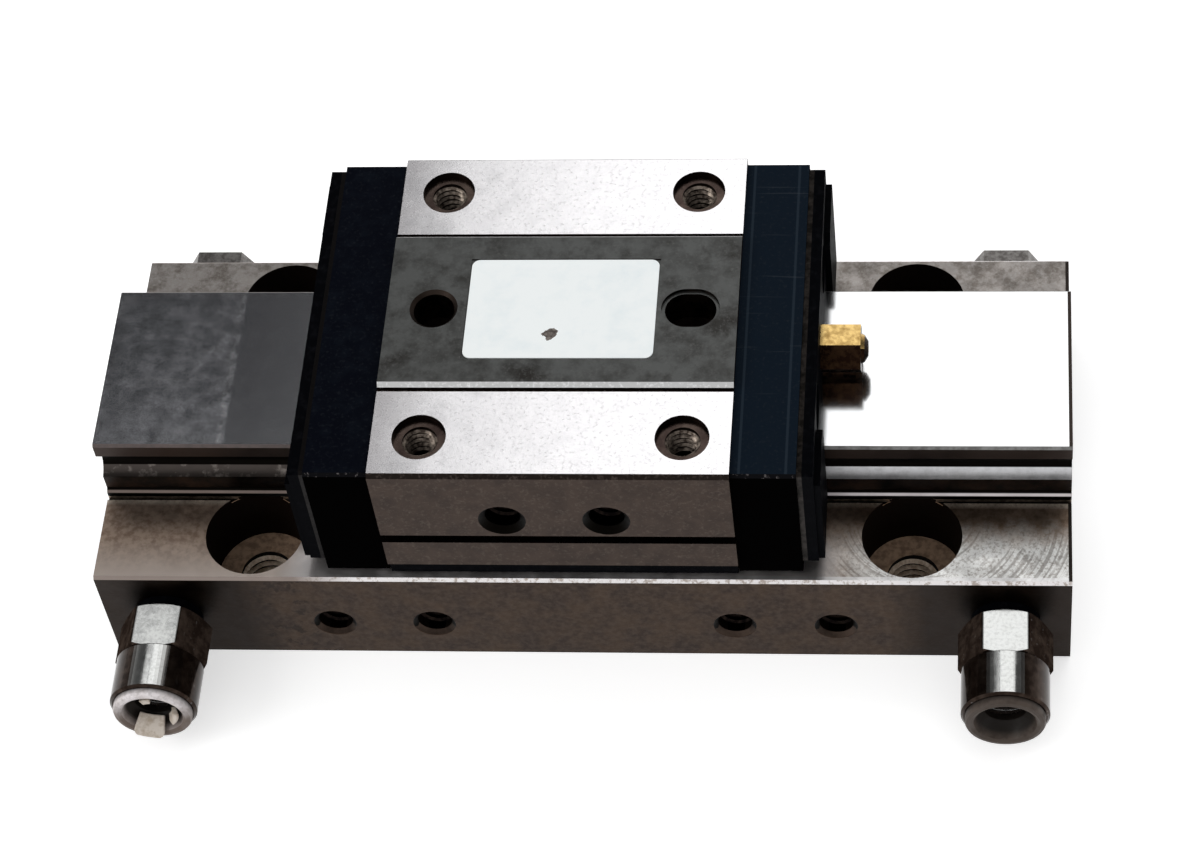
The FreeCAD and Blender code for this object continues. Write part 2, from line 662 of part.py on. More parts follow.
# Carriage block, a saddle of steel with a raised strip along the middle of its top
block = new_body("carriage_block")
block_section = new_sketch(block, "BlockSection", "YZ_Plane")
groove_in = "Size.block_width / 2 - Size.line_depth"
draw_outline(block_section, both_sides([
    (SADDLE, CEILING),
    (SADDLE, "Size.block_bottom + Size.retainer_height"),
    (f"{SADDLE} + Size.retainer_rebate", "Size.block_bottom + Size.retainer_height"),
    (f"{SADDLE} + Size.retainer_rebate", "Size.block_bottom"),
    ("Size.block_width / 2 - Size.edge_break", "Size.block_bottom"),
    ("Size.block_width / 2", "Size.block_bottom + Size.edge_break"),
    ("Size.block_width / 2", "Size.line_height - Size.line_width / 2"),
    (groove_in, "Size.line_height - Size.line_width / 2"),
    (groove_in, "Size.line_height + Size.line_width / 2"),
    ("Size.block_width / 2", "Size.line_height + Size.line_width / 2"),
    ("Size.block_width / 2", "Size.band_height - Size.block_chamfer"),
    ("Size.block_width / 2 - Size.block_chamfer", "Size.band_height"),
    ("Size.strip_width / 2 + Size.strip_relief", "Size.band_height"),
    ("Size.strip_width / 2 + Size.strip_relief", "Size.band_height - Size.strip_relief / 2"),
    ("Size.strip_width / 2", "Size.band_height - Size.strip_relief / 2"),
    ("Size.strip_width / 2", f"{STRIP_TOP} - Size.strip_chamfer"),
    ("Size.strip_width / 2 - Size.strip_chamfer", STRIP_TOP),
]))
pad(block, block_section, "Size.block_length", symmetric=True)

# Load races open to the rail, and the channels that bring the balls back
channels = new_sketch(block, "BlockChannels", "YZ_Plane")
for name, sign in SIDES:
    draw_circle(channels, f"{sign} * {RACE_Y}", "Size.race_height", f"2 * {RACE_RADIUS}")
    draw_circle(channels, f"{sign} * {RETURN_Y}", "Size.race_height", f"2 * {RACE_RADIUS}")
pocket(block, channels, "Size.block_length + 2", symmetric=True)

pin_seat = new_sketch(block, "PinSeat", "XY_Plane", CEILING)
draw_circle(pin_seat, "0", "0", "Size.pin_diameter + 2 * Size.plug_clearance")
pocket(block, pin_seat, "Size.pin_seat", reverse=True)

table_taps = new_sketch(block, "TableTaps", "XY_Plane", "Size.band_height")
for name, sign in SIDES:
    for depth_sign in (-1, 1):
        across = f"{sign} * Size.table_pitch_long / 2"
        along = f"{depth_sign} * Size.table_pitch_wide / 2"
        draw_circle(table_taps, across, along, "Size.tap_diameter")
drill(block, table_taps, "Size.tap_diameter", "Size.tap_depth", "Size.tap_mouth", "Size.tap_mouth_depth")

dowel_hole = new_sketch(block, "DowelHole", "XY_Plane", STRIP_TOP)
draw_circle(dowel_hole, "-Size.dowel_pitch / 2", "0", "Size.dowel_diameter")
drill(block, dowel_hole, "Size.dowel_diameter", "Size.dowel_depth", "Size.dowel_mouth", sink=True)
dowel_slot = new_sketch(block, "DowelSlot", "XY_Plane", STRIP_TOP)
draw_slot(dowel_slot, "Size.dowel_pitch / 2", "0", "Size.slot_stretch", "Size.dowel_diameter")
pocket(block, dowel_slot, "Size.dowel_depth")
slot_mouth = new_sketch(block, "SlotMouth", "XY_Plane", STRIP_TOP)
draw_slot(slot_mouth, "Size.dowel_pitch / 2", "0", "Size.slot_stretch", "Size.dowel_mouth")
pocket(block, slot_mouth, "(Size.dowel_mouth - Size.dowel_diameter) / 2")

label_seat = new_sketch(block, "LabelSeat", "XY_Plane", STRIP_TOP)
draw_outline(label_seat, [
    ("Size.label_length / 2 + Size.stop_gap", "-Size.label_width / 2 - Size.stop_gap"),
    ("Size.label_length / 2 + Size.stop_gap", "Size.label_width / 2 + Size.stop_gap"),
    ("-Size.label_length / 2 - Size.stop_gap", "Size.label_width / 2 + Size.stop_gap"),
    ("-Size.label_length / 2 - Size.stop_gap", "-Size.label_width / 2 - Size.stop_gap"),
])
pocket(block, label_seat, "Size.label_thickness")

face_taps = new_sketch(block, "BlockFaceTaps", "XZ_Plane", "Size.block_width / 2")
for name, sign in SIDES:
    draw_circle(face_taps, f"{sign} * Size.face_tap_pitch / 2", "Size.face_tap_height", "Size.tap_diameter")
drill(block, face_taps, "Size.tap_diameter", "Size.face_tap_depth", mouth="Size.face_mouth", sink=True)

for name, sign in SIDES:
    cap_taps = new_sketch(block, f"CapTaps{name}", "YZ_Plane", f"{sign} * Size.block_length / 2")
    for depth_sign in (-1, 1):
        along = f"{depth_sign} * Size.screw_pitch / 2"
        draw_circle(cap_taps, along, "Size.screw_height", "Size.screw_diameter")
    pocket(block, cap_taps, "Size.screw_grip + Size.stop_gap", reverse=sign < 0)
place(block, "Size.carriage_rest")
nodes.append(block)


def end_outline(sketch, half_width, top, bottom, gap, covers_foot):
    """The saddle shape of the pieces on the carriage's ends. Some reach down beside the rail's foot."""
    inner = f"(Size.rail_width / 2 + {gap})"
    outer = f"({half_width})"
    knee_up = f"(Size.base_height + Size.foot_height + 2 * Size.foot_flare + Size.relief_width + 2 * {gap})"
    step = "(Size.foot_flare + Size.relief_width)"
    if covers_foot:
        foot = [(f"{inner} + {step}", f"{knee_up} - {step}"), (f"{inner} + {step}", bottom)]
    else:
        foot = [(f"{inner} + {knee_up} - {bottom}", bottom)]
    draw_outline(sketch, both_sides([
        (inner, f"{RAIL_TOP} + {gap}"),
        (inner, knee_up),
        *foot,
        (f"{outer} - Size.end_corner", bottom),
        (outer, f"{bottom} + Size.end_corner"),
        (outer, f"{top} - Size.end_corner"),
        (f"{outer} - Size.end_corner", top),
    ]))


def screw_holes(body, name, start, depth, diameter):
    """Clearance holes for the two cap screws, cut inwards from start."""
    sketch = new_sketch(body, name, "YZ_Plane", start)
    for side_sign in (-1, 1):
        draw_circle(sketch, f"{side_sign} * Size.screw_pitch / 2", "Size.screw_height", diameter)
    pocket(body, sketch, depth)


END_HALF = "Size.end_width / 2"
SEAL_HALF = "Size.seal_width_outside / 2"
screw_clearance = "(Size.screw_diameter + 2 * Size.stop_gap)"
head_clearance = "(Size.screw_head + 4 * Size.stop_gap)"
for name, sign in SIDES:
    turn = 0 if sign > 0 else 180

    # Ball guide, a plate between the block and the cap that leads the balls into the turns
    guide = new_body(f"ball_guide_{name}")
    guide_sketch = new_sketch(guide, f"GuideOutline{name}", "YZ_Plane", "Size.block_length / 2")
    end_outline(guide_sketch, END_HALF, "Size.end_top", "Size.end_bottom", "Size.end_gap", True)
    pad(guide, guide_sketch, "Size.guide_thickness")
    ways = new_sketch(guide, f"GuideWays{name}", "YZ_Plane", GUIDE_FACE)
    for side_name, side_sign in SIDES:
        draw_circle(ways, f"{side_sign} * {RACE_Y}", "Size.race_height", f"2 * {RACE_RADIUS}")
        draw_circle(ways, f"{side_sign} * {RETURN_Y}", "Size.race_height", f"2 * {RACE_RADIUS}")
    pocket(guide, ways, "Size.guide_thickness")
    screw_holes(guide, f"GuideScrews{name}", GUIDE_FACE, "Size.guide_thickness", screw_clearance)
    place(guide, "Size.carriage_rest", turn=turn)
    nodes.append(guide)

    # End cap with the half-ring turns in its inner face
    shell = new_body(f"CapShell{name}")
    cap_sketch = new_sketch(shell, f"CapOutline{name}", "YZ_Plane", GUIDE_FACE)
    end_outline(cap_sketch, END_HALF, "Size.end_top", "Size.end_bottom", "Size.end_gap", True)
    pad(shell, cap_sketch, "Size.cap_thickness")
    screw_holes(shell, f"CapScrews{name}", CAP_FACE, "Size.cap_thickness", screw_clearance)
    if sign > 0:
        grease_way = new_sketch(shell, "GreaseWay", "YZ_Plane", CAP_FACE)
        draw_circle(grease_way, "0", "Size.nipple_height", "Size.nipple_thread + 2 * Size.plug_clearance")
        pocket(shell, grease_way, "Size.nipple_thread_length + Size.stop_gap")
    turns = []
    for side_sign in (-1, 1):
        ball_turn = doc.addObject("Part::Torus", f"BallTurn{name}")
        ball_turn.setExpression("Radius1", "Size.turn_radius")
        ball_turn.setExpression("Radius2", RACE_RADIUS)
        place(ball_turn, GUIDE_FACE, f"{side_sign} * ({RACE_Y} + Size.turn_radius)", "Size.race_height")
        turns.append(ball_turn)
    cap = doc.addObject("Part::Cut", f"end_cap_{name}")
    cap.Label = f"end_cap_{name}"
    cap.Base = shell
    cap.Tool = group(f"BallTurns{name}", turns)
    place(cap, "Size.carriage_rest", turn=turn)
    nodes.append(cap)

    # Steel plate behind the end seal
    plate = new_body(f"seal_plate_{name}")
    plate_sketch = new_sketch(plate, f"PlateOutline{name}", "YZ_Plane", CAP_FACE)
    end_outline(plate_sketch, SEAL_HALF, "Size.seal_top", "Size.seal_bottom", "Size.end_gap", False)
    pad(plate, plate_sketch, "Size.seal_plate_thickness")
    screw_holes(plate, f"PlateScrews{name}", PLATE_FACE, "Size.seal_plate_thickness", head_clearance)

    # Rubber end seal, thicker on its two skirts, with a lip that follows the rail
    seal = new_body(f"end_seal_{name}")
    seal_sketch = new_sketch(seal, f"SealOutline{name}", "YZ_Plane", PLATE_FACE)
    end_outline(seal_sketch, SEAL_HALF, "Size.seal_top", "Size.seal_bottom", "Size.lip_gap", False)
    pad(seal, seal_sketch, "Size.seal_thickness")
    skirts = new_sketch(seal, f"SealSkirts{name}", "YZ_Plane", PLATE_FACE)
    for side_sign in (-1, 1):
        inner = "(Size.rail_width / 2 + 2 * Size.foot_flare + Size.relief_width)"
        outer = "(Size.seal_width_outside / 2)"
        corners = [
            (f"{side_sign} * {inner}", "Size.seal_bottom + Size.end_corner"),
            (f"{side_sign} * ({outer} - Size.end_corner)", "Size.seal_bottom + Size.end_corner"),
            (f"{side_sign} * ({outer} - Size.end_corner)", "Size.seal_skirt_top"),
            (f"{side_sign} * ({inner} + 4 * Size.end_corner)", "Size.seal_skirt_top"),
            (f"{side_sign} * {inner}", "Size.seal_skirt_top - 4 * Size.end_corner"),
        ]
        draw_outline(skirts, corners)
    pad(seal, skirts, "Size.seal_thickness + Size.seal_skirt")
    screw_holes(seal, f"SealScrews{name}", f"{SEAL_FACE} + Size.seal_skirt",
                "Size.seal_thickness + Size.seal_skirt", head_clearance)
    if sign > 0:
        for piece, start in ((plate, PLATE_FACE), (seal, SEAL_FACE)):
            nipple_gap = new_sketch(piece, piece.Name + "NippleGap", "YZ_Plane", start)
            draw_circle(nipple_gap, "0", "Size.nipple_height", "Size.nipple_thread + 2 * Size.stop_gap")
            pocket(piece, nipple_gap, "Size.seal_thickness + Size.seal_plate_thickness")
    place(plate, "Size.carriage_rest", turn=turn)
    place(seal, "Size.carriage_rest", turn=turn)
    nodes.append(plate)
    nodes.append(seal)

# Cap screws, four in all, with their heads sunk in the end seals
screw_tip = f"(Size.block_length / 2 - {CAP_FACE} - Size.screw_grip)"
shank = "(Size.screw_diameter / 2 - Size.plug_clearance)"
screw = turned("CapScrew", [
    (screw_tip, "0"),
    (screw_tip, shank),
    ("0", shank),
    ("0", "Size.screw_head / 2"),
    ("Size.screw_head_height - Size.edge_break", "Size.screw_head / 2"),
    ("Size.screw_head_height", "Size.screw_head / 2 - Size.edge_break"),
    ("Size.screw_head_height", "0"),
])
screw_socket = new_sketch(screw, "ScrewSocket", "YZ_Plane", "Size.screw_head_height")
draw_hexagon(screw_socket, "Size.screw_head / 3")
pocket(screw, screw_socket, "Size.screw_head_height / 2")
screw_copies = []
for name, sign in SIDES:
    for side_sign in (-1, 1):
        screw_copies.append(copy_at(screw, f"Size.carriage_rest + {sign} * {CAP_FACE}",
                                    f"{side_sign} * Size.screw_pitch / 2", "Size.screw_height",
                                    0 if sign > 0 else 180))
nodes.append(group("cap_screws", screw_copies))

# Brass grease nipple in the right cap
nipple = turned("grease_nipple", [
    (f"-Size.nipple_thread_length - {SEAL_FACE} + {CAP_FACE}", "0"),
    (f"-Size.nipple_thread_length - {SEAL_FACE} + {CAP_FACE}", "Size.nipple_thread / 2"),
    ("Size.nipple_length", "Size.nipple_thread / 2"),
    ("Size.nipple_length + Size.nipple_dome / 2", "Size.nipple_thread / 2 - Size.nipple_dome / 4"),
    ("Size.nipple_length + Size.nipple_dome", "Size.nipple_thread / 4"),
    ("Size.nipple_length + Size.nipple_dome", "0"),
])
nipple_hex = new_sketch(nipple, "NippleHex", "YZ_Plane")
draw_hexagon(nipple_hex, "Size.nipple_flats")
pad(nipple, nipple_hex, "Size.nipple_length")
nipple_way = new_sketch(nipple, "NippleWay", "YZ_Plane", "Size.nipple_length + Size.nipple_dome")
draw_circle(nipple_way, "0", "0", "Size.nipple_thread / 4")
pocket(nipple, nipple_way, "Size.nipple_length")
place(nipple, f"Size.carriage_rest + {SEAL_FACE}", "0", "Size.nipple_height")
nodes.append(nipple)

# Side seals close the gap under the block, and retainers hold the balls in their races
side_seal_parts = []
retainer_parts = []
side_seal_outer = "(Size.block_width / 2 - Size.side_seal_inset)"
side_seal_end = "(Size.block_length / 2 - Size.stop_gap)"
for side_sign in (-1, 1):
    side_seal = doc.addObject("Part::Box", "SideSeal")
    side_seal.setExpression("Length", f"2 * {side_seal_end}")
    side_seal.setExpression("Width", f"{side_seal_outer} - Size.side_seal_inner")
    side_seal.setExpression("Height", "Size.block_bottom - Size.end_bottom")
    seal_start = "Size.side_seal_inner" if side_sign > 0 else f"-{side_seal_outer}"
    place(side_seal, f"Size.carriage_rest - {side_seal_end}", seal_start, "Size.end_bottom")
    side_seal_parts.append(side_seal)
    retainer = doc.addObject("Part::Box", "Retainer")
    retainer.setExpression("Length", "Size.block_length")
    retainer.setExpression("Width", "Size.retainer_thickness")
    retainer.setExpression("Height", "Size.retainer_height")
    outside = f"({SADDLE} + Size.retainer_rebate)"
    retainer_start = f"{outside} - Size.retainer_thickness" if side_sign > 0 else f"-{outside}"
    place(retainer, "Size.carriage_rest - Size.block_length / 2", retainer_start, "Size.block_bottom")
    retainer_parts.append(retainer)
nodes.append(group("side_seals", side_seal_parts))
nodes.append(group("ball_retainers", retainer_parts))

# The balls that carry the load, one row in each race
ball = doc.addObject("Part::Sphere", "Ball")
ball.setExpression("Radius", "Size.ball_diameter / 2")
ball_count = int(size("block_length") / size("ball_diameter"))
ball_copies = []
for side_sign in (-1, 1):
    for step in range(ball_count):
        row_place = f"({step} - {(ball_count - 1) / 2}) * Size.block_length / {ball_count}"
        ball_copies.append(copy_at(ball, f"Size.carriage_rest + {row_place}",
                                   f"{side_sign} * {RACE_Y}", "Size.race_height"))
nodes.append(group("bearing_balls", ball_copies))

# Blank label, a film with round corners in a shallow seat
label_film = new_body("blank_label")
label_sketch = new_sketch(label_film, "LabelOutline", "XY_Plane")
draw_outline(label_sketch, [
    ("Size.label_length / 2", "-Size.label_width / 2"),
    ("Size.label_length / 2", "Size.label_width / 2"),
    ("-Size.label_length / 2", "Size.label_width / 2"),
    ("-Size.label_length / 2", "-Size.label_width / 2"),
])
label_pad = pad(label_film, label_sketch, "Size.label_thickness")
doc.recompute()
corner_edges = []
for index, edge in enumerate(label_pad.Shape.Edges, start=1):
    upright = abs(edge.tangentAt(edge.FirstParameter).z) > 0.9
    if upright:
        corner_edges.append(f"Edge{index}")
label_round = label_film.newObject("PartDesign::Fillet", "LabelCorners")
label_round.Base = (label_pad, corner_edges)
label_round.setExpression("Radius", "Size.label_radius")
place(label_film, "Size.carriage_rest", "0", f"{STRIP_TOP} - Size.label_thickness")
nodes.append(label_film)

# Double-headed piston, turned, with a cross hole for the drive pin in its waist
piston_radius = "(Size.bore_diameter / 2 - Size.running_gap)"
head_start = f"({PISTON_END} - Size.head_length)"
seal_out = f"({PISTON_END} - Size.seal_inset)"
wear_out = f"({PISTON_END} - Size.wear_ring_inset)"
half_piston = [
    (head_start, "Size.waist_diameter / 2"),
    (head_start, piston_radius),
    (f"{wear_out} - Size.wear_ring_width", piston_radius),
    (f"{wear_out} - Size.wear_ring_width", f"{piston_radius} - Size.wear_ring_depth"),
    (wear_out, f"{piston_radius} - Size.wear_ring_depth"),
    (wear_out, piston_radius),
    (f"{seal_out} - Size.seal_width", piston_radius),
    (f"{seal_out} - Size.seal_width", f"{piston_radius} - Size.seal_depth"),
    (seal_out, f"{piston_radius} - Size.seal_depth"),
    (seal_out, piston_radius),
    (f"{PISTON_END} - Size.edge_break", piston_radius),
    (PISTON_END, f"{piston_radius} - Size.edge_break"),
    (PISTON_END, "0"),
]
piston = turned("piston", both_sides(half_piston))
pin_hole = new_sketch(piston, "PinHole", "XY_Plane", "Size.bore_diameter / 2")
draw_circle(pin_hole, "0", "0", "Size.pin_diameter + 2 * Size.plug_clearance")
pocket(piston, pin_hole, "Size.bore_diameter / 2 + Size.pin_depth")
place(piston, "Size.carriage_rest", "0", "Size.bore_axis")
nodes.append(piston)



def piston_ring(label, outer_edge, width, depth):
    """A ring in one of the piston's grooves, free of its walls and just proud of the piston."""
    start = f"({outer_edge} - Size.plug_clearance)"
    end = f"({outer_edge} - {width} + Size.plug_clearance)"
    inner = f"({piston_radius} - {depth} + Size.plug_clearance)"
    outer = f"({piston_radius} + Size.running_gap / 2)"
    return turned(label, [(start, inner), (start, outer), (end, outer), (end, inner)])


seal_ring = piston_ring("PistonSeal", seal_out, "Size.seal_width", "Size.seal_depth")
wear_ring = piston_ring("WearRing", wear_out, "Size.wear_ring_width", "Size.wear_ring_depth")
piston_seal_copies = []
wear_ring_copies = []
for name, sign in SIDES:
    spot = ("Size.carriage_rest", "0", "Size.bore_axis", 0 if sign > 0 else 180)
    piston_seal_copies.append(copy_at(seal_ring, *spot))
    wear_ring_copies.append(copy_at(wear_ring, *spot))
nodes.append(group("piston_seals", piston_seal_copies))
nodes.append(group("wear_rings", wear_ring_copies))

drive_pin = new_body("drive_pin")
pin_sketch = new_sketch(drive_pin, "PinOutline", "XY_Plane", "Size.bore_axis - Size.pin_depth")
draw_circle(pin_sketch, "0", "0", "Size.pin_diameter")
pad(drive_pin, pin_sketch, f"{CEILING} + Size.pin_seat - Size.bore_axis + Size.pin_depth")
place(drive_pin, "Size.carriage_rest")
nodes.append(drive_pin)

doc.recompute()

for item in doc.Objects:
    bad_states = [state for state in item.State if state in ("Invalid", "Error")]
    if bad_states:
        raise RuntimeError(f"{item.Label} did not build: {bad_states}")

os.makedirs("parts", exist_ok=True)
for node in nodes:
    shape = node.Shape
    if shape.isNull() or not shape.isValid() or not shape.Solids:
        raise RuntimeError(f"{node.Label} has no valid shape")
    shape.exportStep(f"parts/{node.Label}.step")
    print(node.Label, len(shape.Solids), round(shape.Volume, 2))
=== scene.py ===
import bpy
import math
from mathutils import Matrix, Vector


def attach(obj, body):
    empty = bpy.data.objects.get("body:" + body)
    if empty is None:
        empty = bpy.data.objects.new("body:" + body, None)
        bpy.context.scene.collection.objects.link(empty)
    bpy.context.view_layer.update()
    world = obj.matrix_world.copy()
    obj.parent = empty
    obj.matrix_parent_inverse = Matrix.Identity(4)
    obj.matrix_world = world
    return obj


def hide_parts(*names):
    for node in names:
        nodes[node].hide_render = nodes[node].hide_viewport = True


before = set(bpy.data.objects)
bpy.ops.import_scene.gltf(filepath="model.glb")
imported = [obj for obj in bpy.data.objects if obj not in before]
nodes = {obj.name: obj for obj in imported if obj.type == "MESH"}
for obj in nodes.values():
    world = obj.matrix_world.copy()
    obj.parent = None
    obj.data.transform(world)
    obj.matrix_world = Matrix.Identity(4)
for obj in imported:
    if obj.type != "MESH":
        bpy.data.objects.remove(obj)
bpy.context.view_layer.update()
MM = 0.001

# The setting
# A pale table under a large soft light behind the slide, which the ground steel mirrors to the
# camera, a smaller one from the left, and a narrow one that the left fitting mirrors. The
# camera looks down from the front.


def add_step(tree, kind, inputs=(), **settings):
    """Adds one shading step to a finish. Each input is a value or another step's output."""
    step = tree.nodes.new(kind)
    for name, value in settings.items():
        setattr(step, name, value)
    for socket, value in inputs:
        if isinstance(value, bpy.types.NodeSocket):
            tree.links.new(value, step.inputs[socket])
        else:
            step.inputs[socket].default_value = value
    return step


def seen_directly(tree):
    """1 for what the camera, a mirror or clear glass shows, and 0 for light on matt surfaces."""
    path = add_step(tree, "ShaderNodeLightPath")
    seen = path.outputs["Is Camera Ray"]
    for ray in ("Is Glossy Ray", "Is Transmission Ray"):
        both = add_step(tree, "ShaderNodeMath", [(0, seen), (1, path.outputs[ray])], operation="MAXIMUM")
        seen = both.outputs[0]
    return seen


TABLE_GLOW = 0.52
MATT_LIGHT = 0.62
HORIZON = 0.8
CEILING = 0.07
FRONT_WALL = 0.9


def light_table():
    bpy.ops.mesh.primitive_plane_add(size=6, location=(0, 0, 0))
    table = bpy.context.object
    table.name = "table"
    finish = bpy.data.materials.new("pale table")
    finish.use_nodes = True
    surface = finish.node_tree.nodes["Principled BSDF"]
    surface.inputs["Base Color"].default_value = (0.93, 0.93, 0.93, 1)
    surface.inputs["Roughness"].default_value = 0.9
    surface.inputs["Specular IOR Level"].default_value = 0.1
    surface.inputs["Emission Color"].default_value = (1, 1, 1, 1)
    glow = add_step(finish.node_tree, "ShaderNodeMath", [
        (0, seen_directly(finish.node_tree)), (1, TABLE_GLOW)], operation="MULTIPLY")
    finish.node_tree.links.new(glow.outputs[0], surface.inputs["Emission Strength"])
    table.data.materials.append(finish)


def soft_light(name, place, width, depth, brightness, aim=(0, 0, 0)):
    """A soft lamp. Its brightness is what a mirror shows of it, where 1 is white."""
    lamp = bpy.data.lights.new(name, "AREA")
    lamp.shape = "RECTANGLE"
    lamp.size = width
    lamp.size_y = depth
    lamp.energy = brightness * math.pi * width * depth
    holder = bpy.data.objects.new(name, lamp)
    holder.location = place
    holder.rotation_euler = (Vector(place) - Vector(aim)).to_track_quat("Z", "Y").to_euler()
    bpy.context.scene.collection.objects.link(holder)


def room_light():
    """Even light for matt surfaces. Mirrors see a pale horizon, a dark ceiling and a bright front wall."""
    room = bpy.data.worlds.new("room")
    bpy.context.scene.world = room
    room.use_nodes = True
    tree = room.node_tree
    background = tree.nodes["Background"]
    direction = add_step(tree, "ShaderNodeTexCoord").outputs["Generated"]
    apart = add_step(tree, "ShaderNodeSeparateXYZ", [("Vector", direction)])
    level = add_step(tree, "ShaderNodeMapRange", [
        ("Value", apart.outputs["Z"]), ("From Min", 0.25), ("From Max", 0.6),
        ("To Min", HORIZON), ("To Max", CEILING)])
    front = add_step(tree, "ShaderNodeMapRange", [
        ("Value", apart.outputs["Y"]), ("From Min", -0.4), ("From Max", -0.7),
        ("To Min", 0.0), ("To Max", FRONT_WALL)])
    shown = add_step(tree, "ShaderNodeMath", [(0, level.outputs["Result"]), (1, front.outputs["Result"])],
                     operation="MAXIMUM")
    strength = add_step(tree, "ShaderNodeMix", [
        ("Factor", seen_directly(tree)), ("A", MATT_LIGHT), ("B", shown.outputs[0])])
    tree.links.new(strength.outputs["Result"], background.inputs["Strength"])
    background.inputs["Color"].default_value = (1, 1, 1, 1)


light_table()
soft_light("back softbox", (0.15, 0.78, 1.0), width=0.76, depth=0.86, brightness=1.25)
soft_light("left softbox", (-0.75, -0.35, 0.7), width=0.5, depth=0.5, brightness=3.0)
soft_light("fitting strip", (-0.4, 0.575, 1.0), width=0.3, depth=0.10, brightness=1.2,
           aim=(-0.4, 0.575, 0))
room_light()

PHOTO_WIDTH = 1200
FOCAL_PIXELS = 3419.4
OPTICAL_CENTRE = 700.0
SENSOR_WIDTH = 36
CAMERA_BACK = 354.847 * MM
CAMERA_RIGHT = 10.04 * MM
CAMERA_UP = 5.982 * MM
camera_data = bpy.data.cameras.new("camera")
camera = bpy.data.objects.new("camera", camera_data)
bpy.context.scene.collection.objects.link(camera)
elevation = math.radians(53.819)
swing = math.radians(8.589)
tilt = math.radians(-6.822)
back = Vector((
    math.sin(swing) * math.cos(elevation), -math.cos(swing) * math.cos(elevation), math.sin(elevation)))
level_right = Vector((math.cos(swing), math.sin(swing), 0))
level_up = back.cross(level_right)
right = math.cos(tilt) * level_right + math.sin(tilt) * level_up
up = back.cross(right)
spot = CAMERA_BACK * back + CAMERA_RIGHT * right + CAMERA_UP * up
camera.matrix_world = Matrix((
    (right.x, up.x, back.x, spot.x),
    (right.y, up.y, back.y, spot.y),
    (right.z, up.z, back.z, spot.z),
    (0, 0, 0, 1)))
camera_data.sensor_width = SENSOR_WIDTH
camera_data.lens = SENSOR_WIDTH * FOCAL_PIXELS / PHOTO_WIDTH
camera_data.shift_x = (PHOTO_WIDTH / 2 - OPTICAL_CENTRE) / PHOTO_WIDTH
camera_data.clip_start = 0.01
bpy.context.scene.camera = camera
bpy.context.scene.view_settings.view_transform = "Standard"

# Base and rail
# One bar of hardened steel, milled and then ground on the rail top and its ball races. Its
# sides are painted dark brown as a reflection, mottled with dirt, and cutter arcs show at the
# right end of the base.


def new_effect(name, takes, gives):
    """A shading effect that several finishes share, with named inputs and outputs."""
    effect = bpy.data.node_groups.new(name, "ShaderNodeTree")
    for label, kind, start in takes:
        socket = effect.interface.new_socket(label, in_out="INPUT", socket_type=kind)
        socket.default_value = start
    for label, kind in gives:
        effect.interface.new_socket(label, in_out="OUTPUT", socket_type=kind)
    entry = effect.nodes.new("NodeGroupInput")
    leave = effect.nodes.new("NodeGroupOutput")
    return effect, entry.outputs, leave.inputs


def patches_effect():
    """Uneven patches of about the given size, for stains, dull areas and dust."""
    effect, takes, gives = new_effect("patches", [
        ("Place", "NodeSocketVector", (0, 0, 0)), ("Size mm", "NodeSocketFloat", 3.0),
        ("Low", "NodeSocketFloat", 0.4), ("High", "NodeSocketFloat", 0.6), ("Seed", "NodeSocketFloat", 0.0),
    ], [("Mask", "NodeSocketFloat")])
    scale = add_step(effect, "ShaderNodeMath", [(0, 1000.0), (1, takes["Size mm"])], operation="DIVIDE")
    shift = add_step(effect, "ShaderNodeVectorMath", [(0, takes["Place"]), (1, takes["Seed"])],
                     operation="ADD")
    cloud = add_step(effect, "ShaderNodeTexNoise", [
        ("Vector", shift.outputs[0]), ("Scale", scale.outputs[0]), ("Detail", 6.0), ("Roughness", 0.62)])
    mask = add_step(effect, "ShaderNodeMapRange", [
        ("Value", cloud.outputs["Fac"]), ("From Min", takes["Low"]), ("From Max", takes["High"])])
    effect.links.new(mask.outputs["Result"], gives["Mask"])
    return effect


def between_effect():
    """1 where a value lies between two limits, with soft edges."""
    effect, takes, gives = new_effect("between", [
        ("Value", "NodeSocketFloat", 0.0), ("From", "NodeSocketFloat", 0.0), ("To", "NodeSocketFloat", 1.0),
        ("Soft", "NodeSocketFloat", 0.0001),
    ], [("Mask", "NodeSocketFloat")])
    rise = add_step(effect, "ShaderNodeMath", [(0, takes["Value"]), (1, takes["From"])],
                    operation="SUBTRACT")
    fall = add_step(effect, "ShaderNodeMath", [(0, takes["To"]), (1, takes["Value"])],
                    operation="SUBTRACT")
    least = add_step(effect, "ShaderNodeMath", [(0, rise.outputs[0]), (1, fall.outputs[0])],
                     operation="MINIMUM")
    share = add_step(effect, "ShaderNodeMath", [(0, least.outputs[0]), (1, takes["Soft"])],
                     operation="DIVIDE", use_clamp=True)
    effect.links.new(share.outputs[0], gives["Mask"])
    return effect


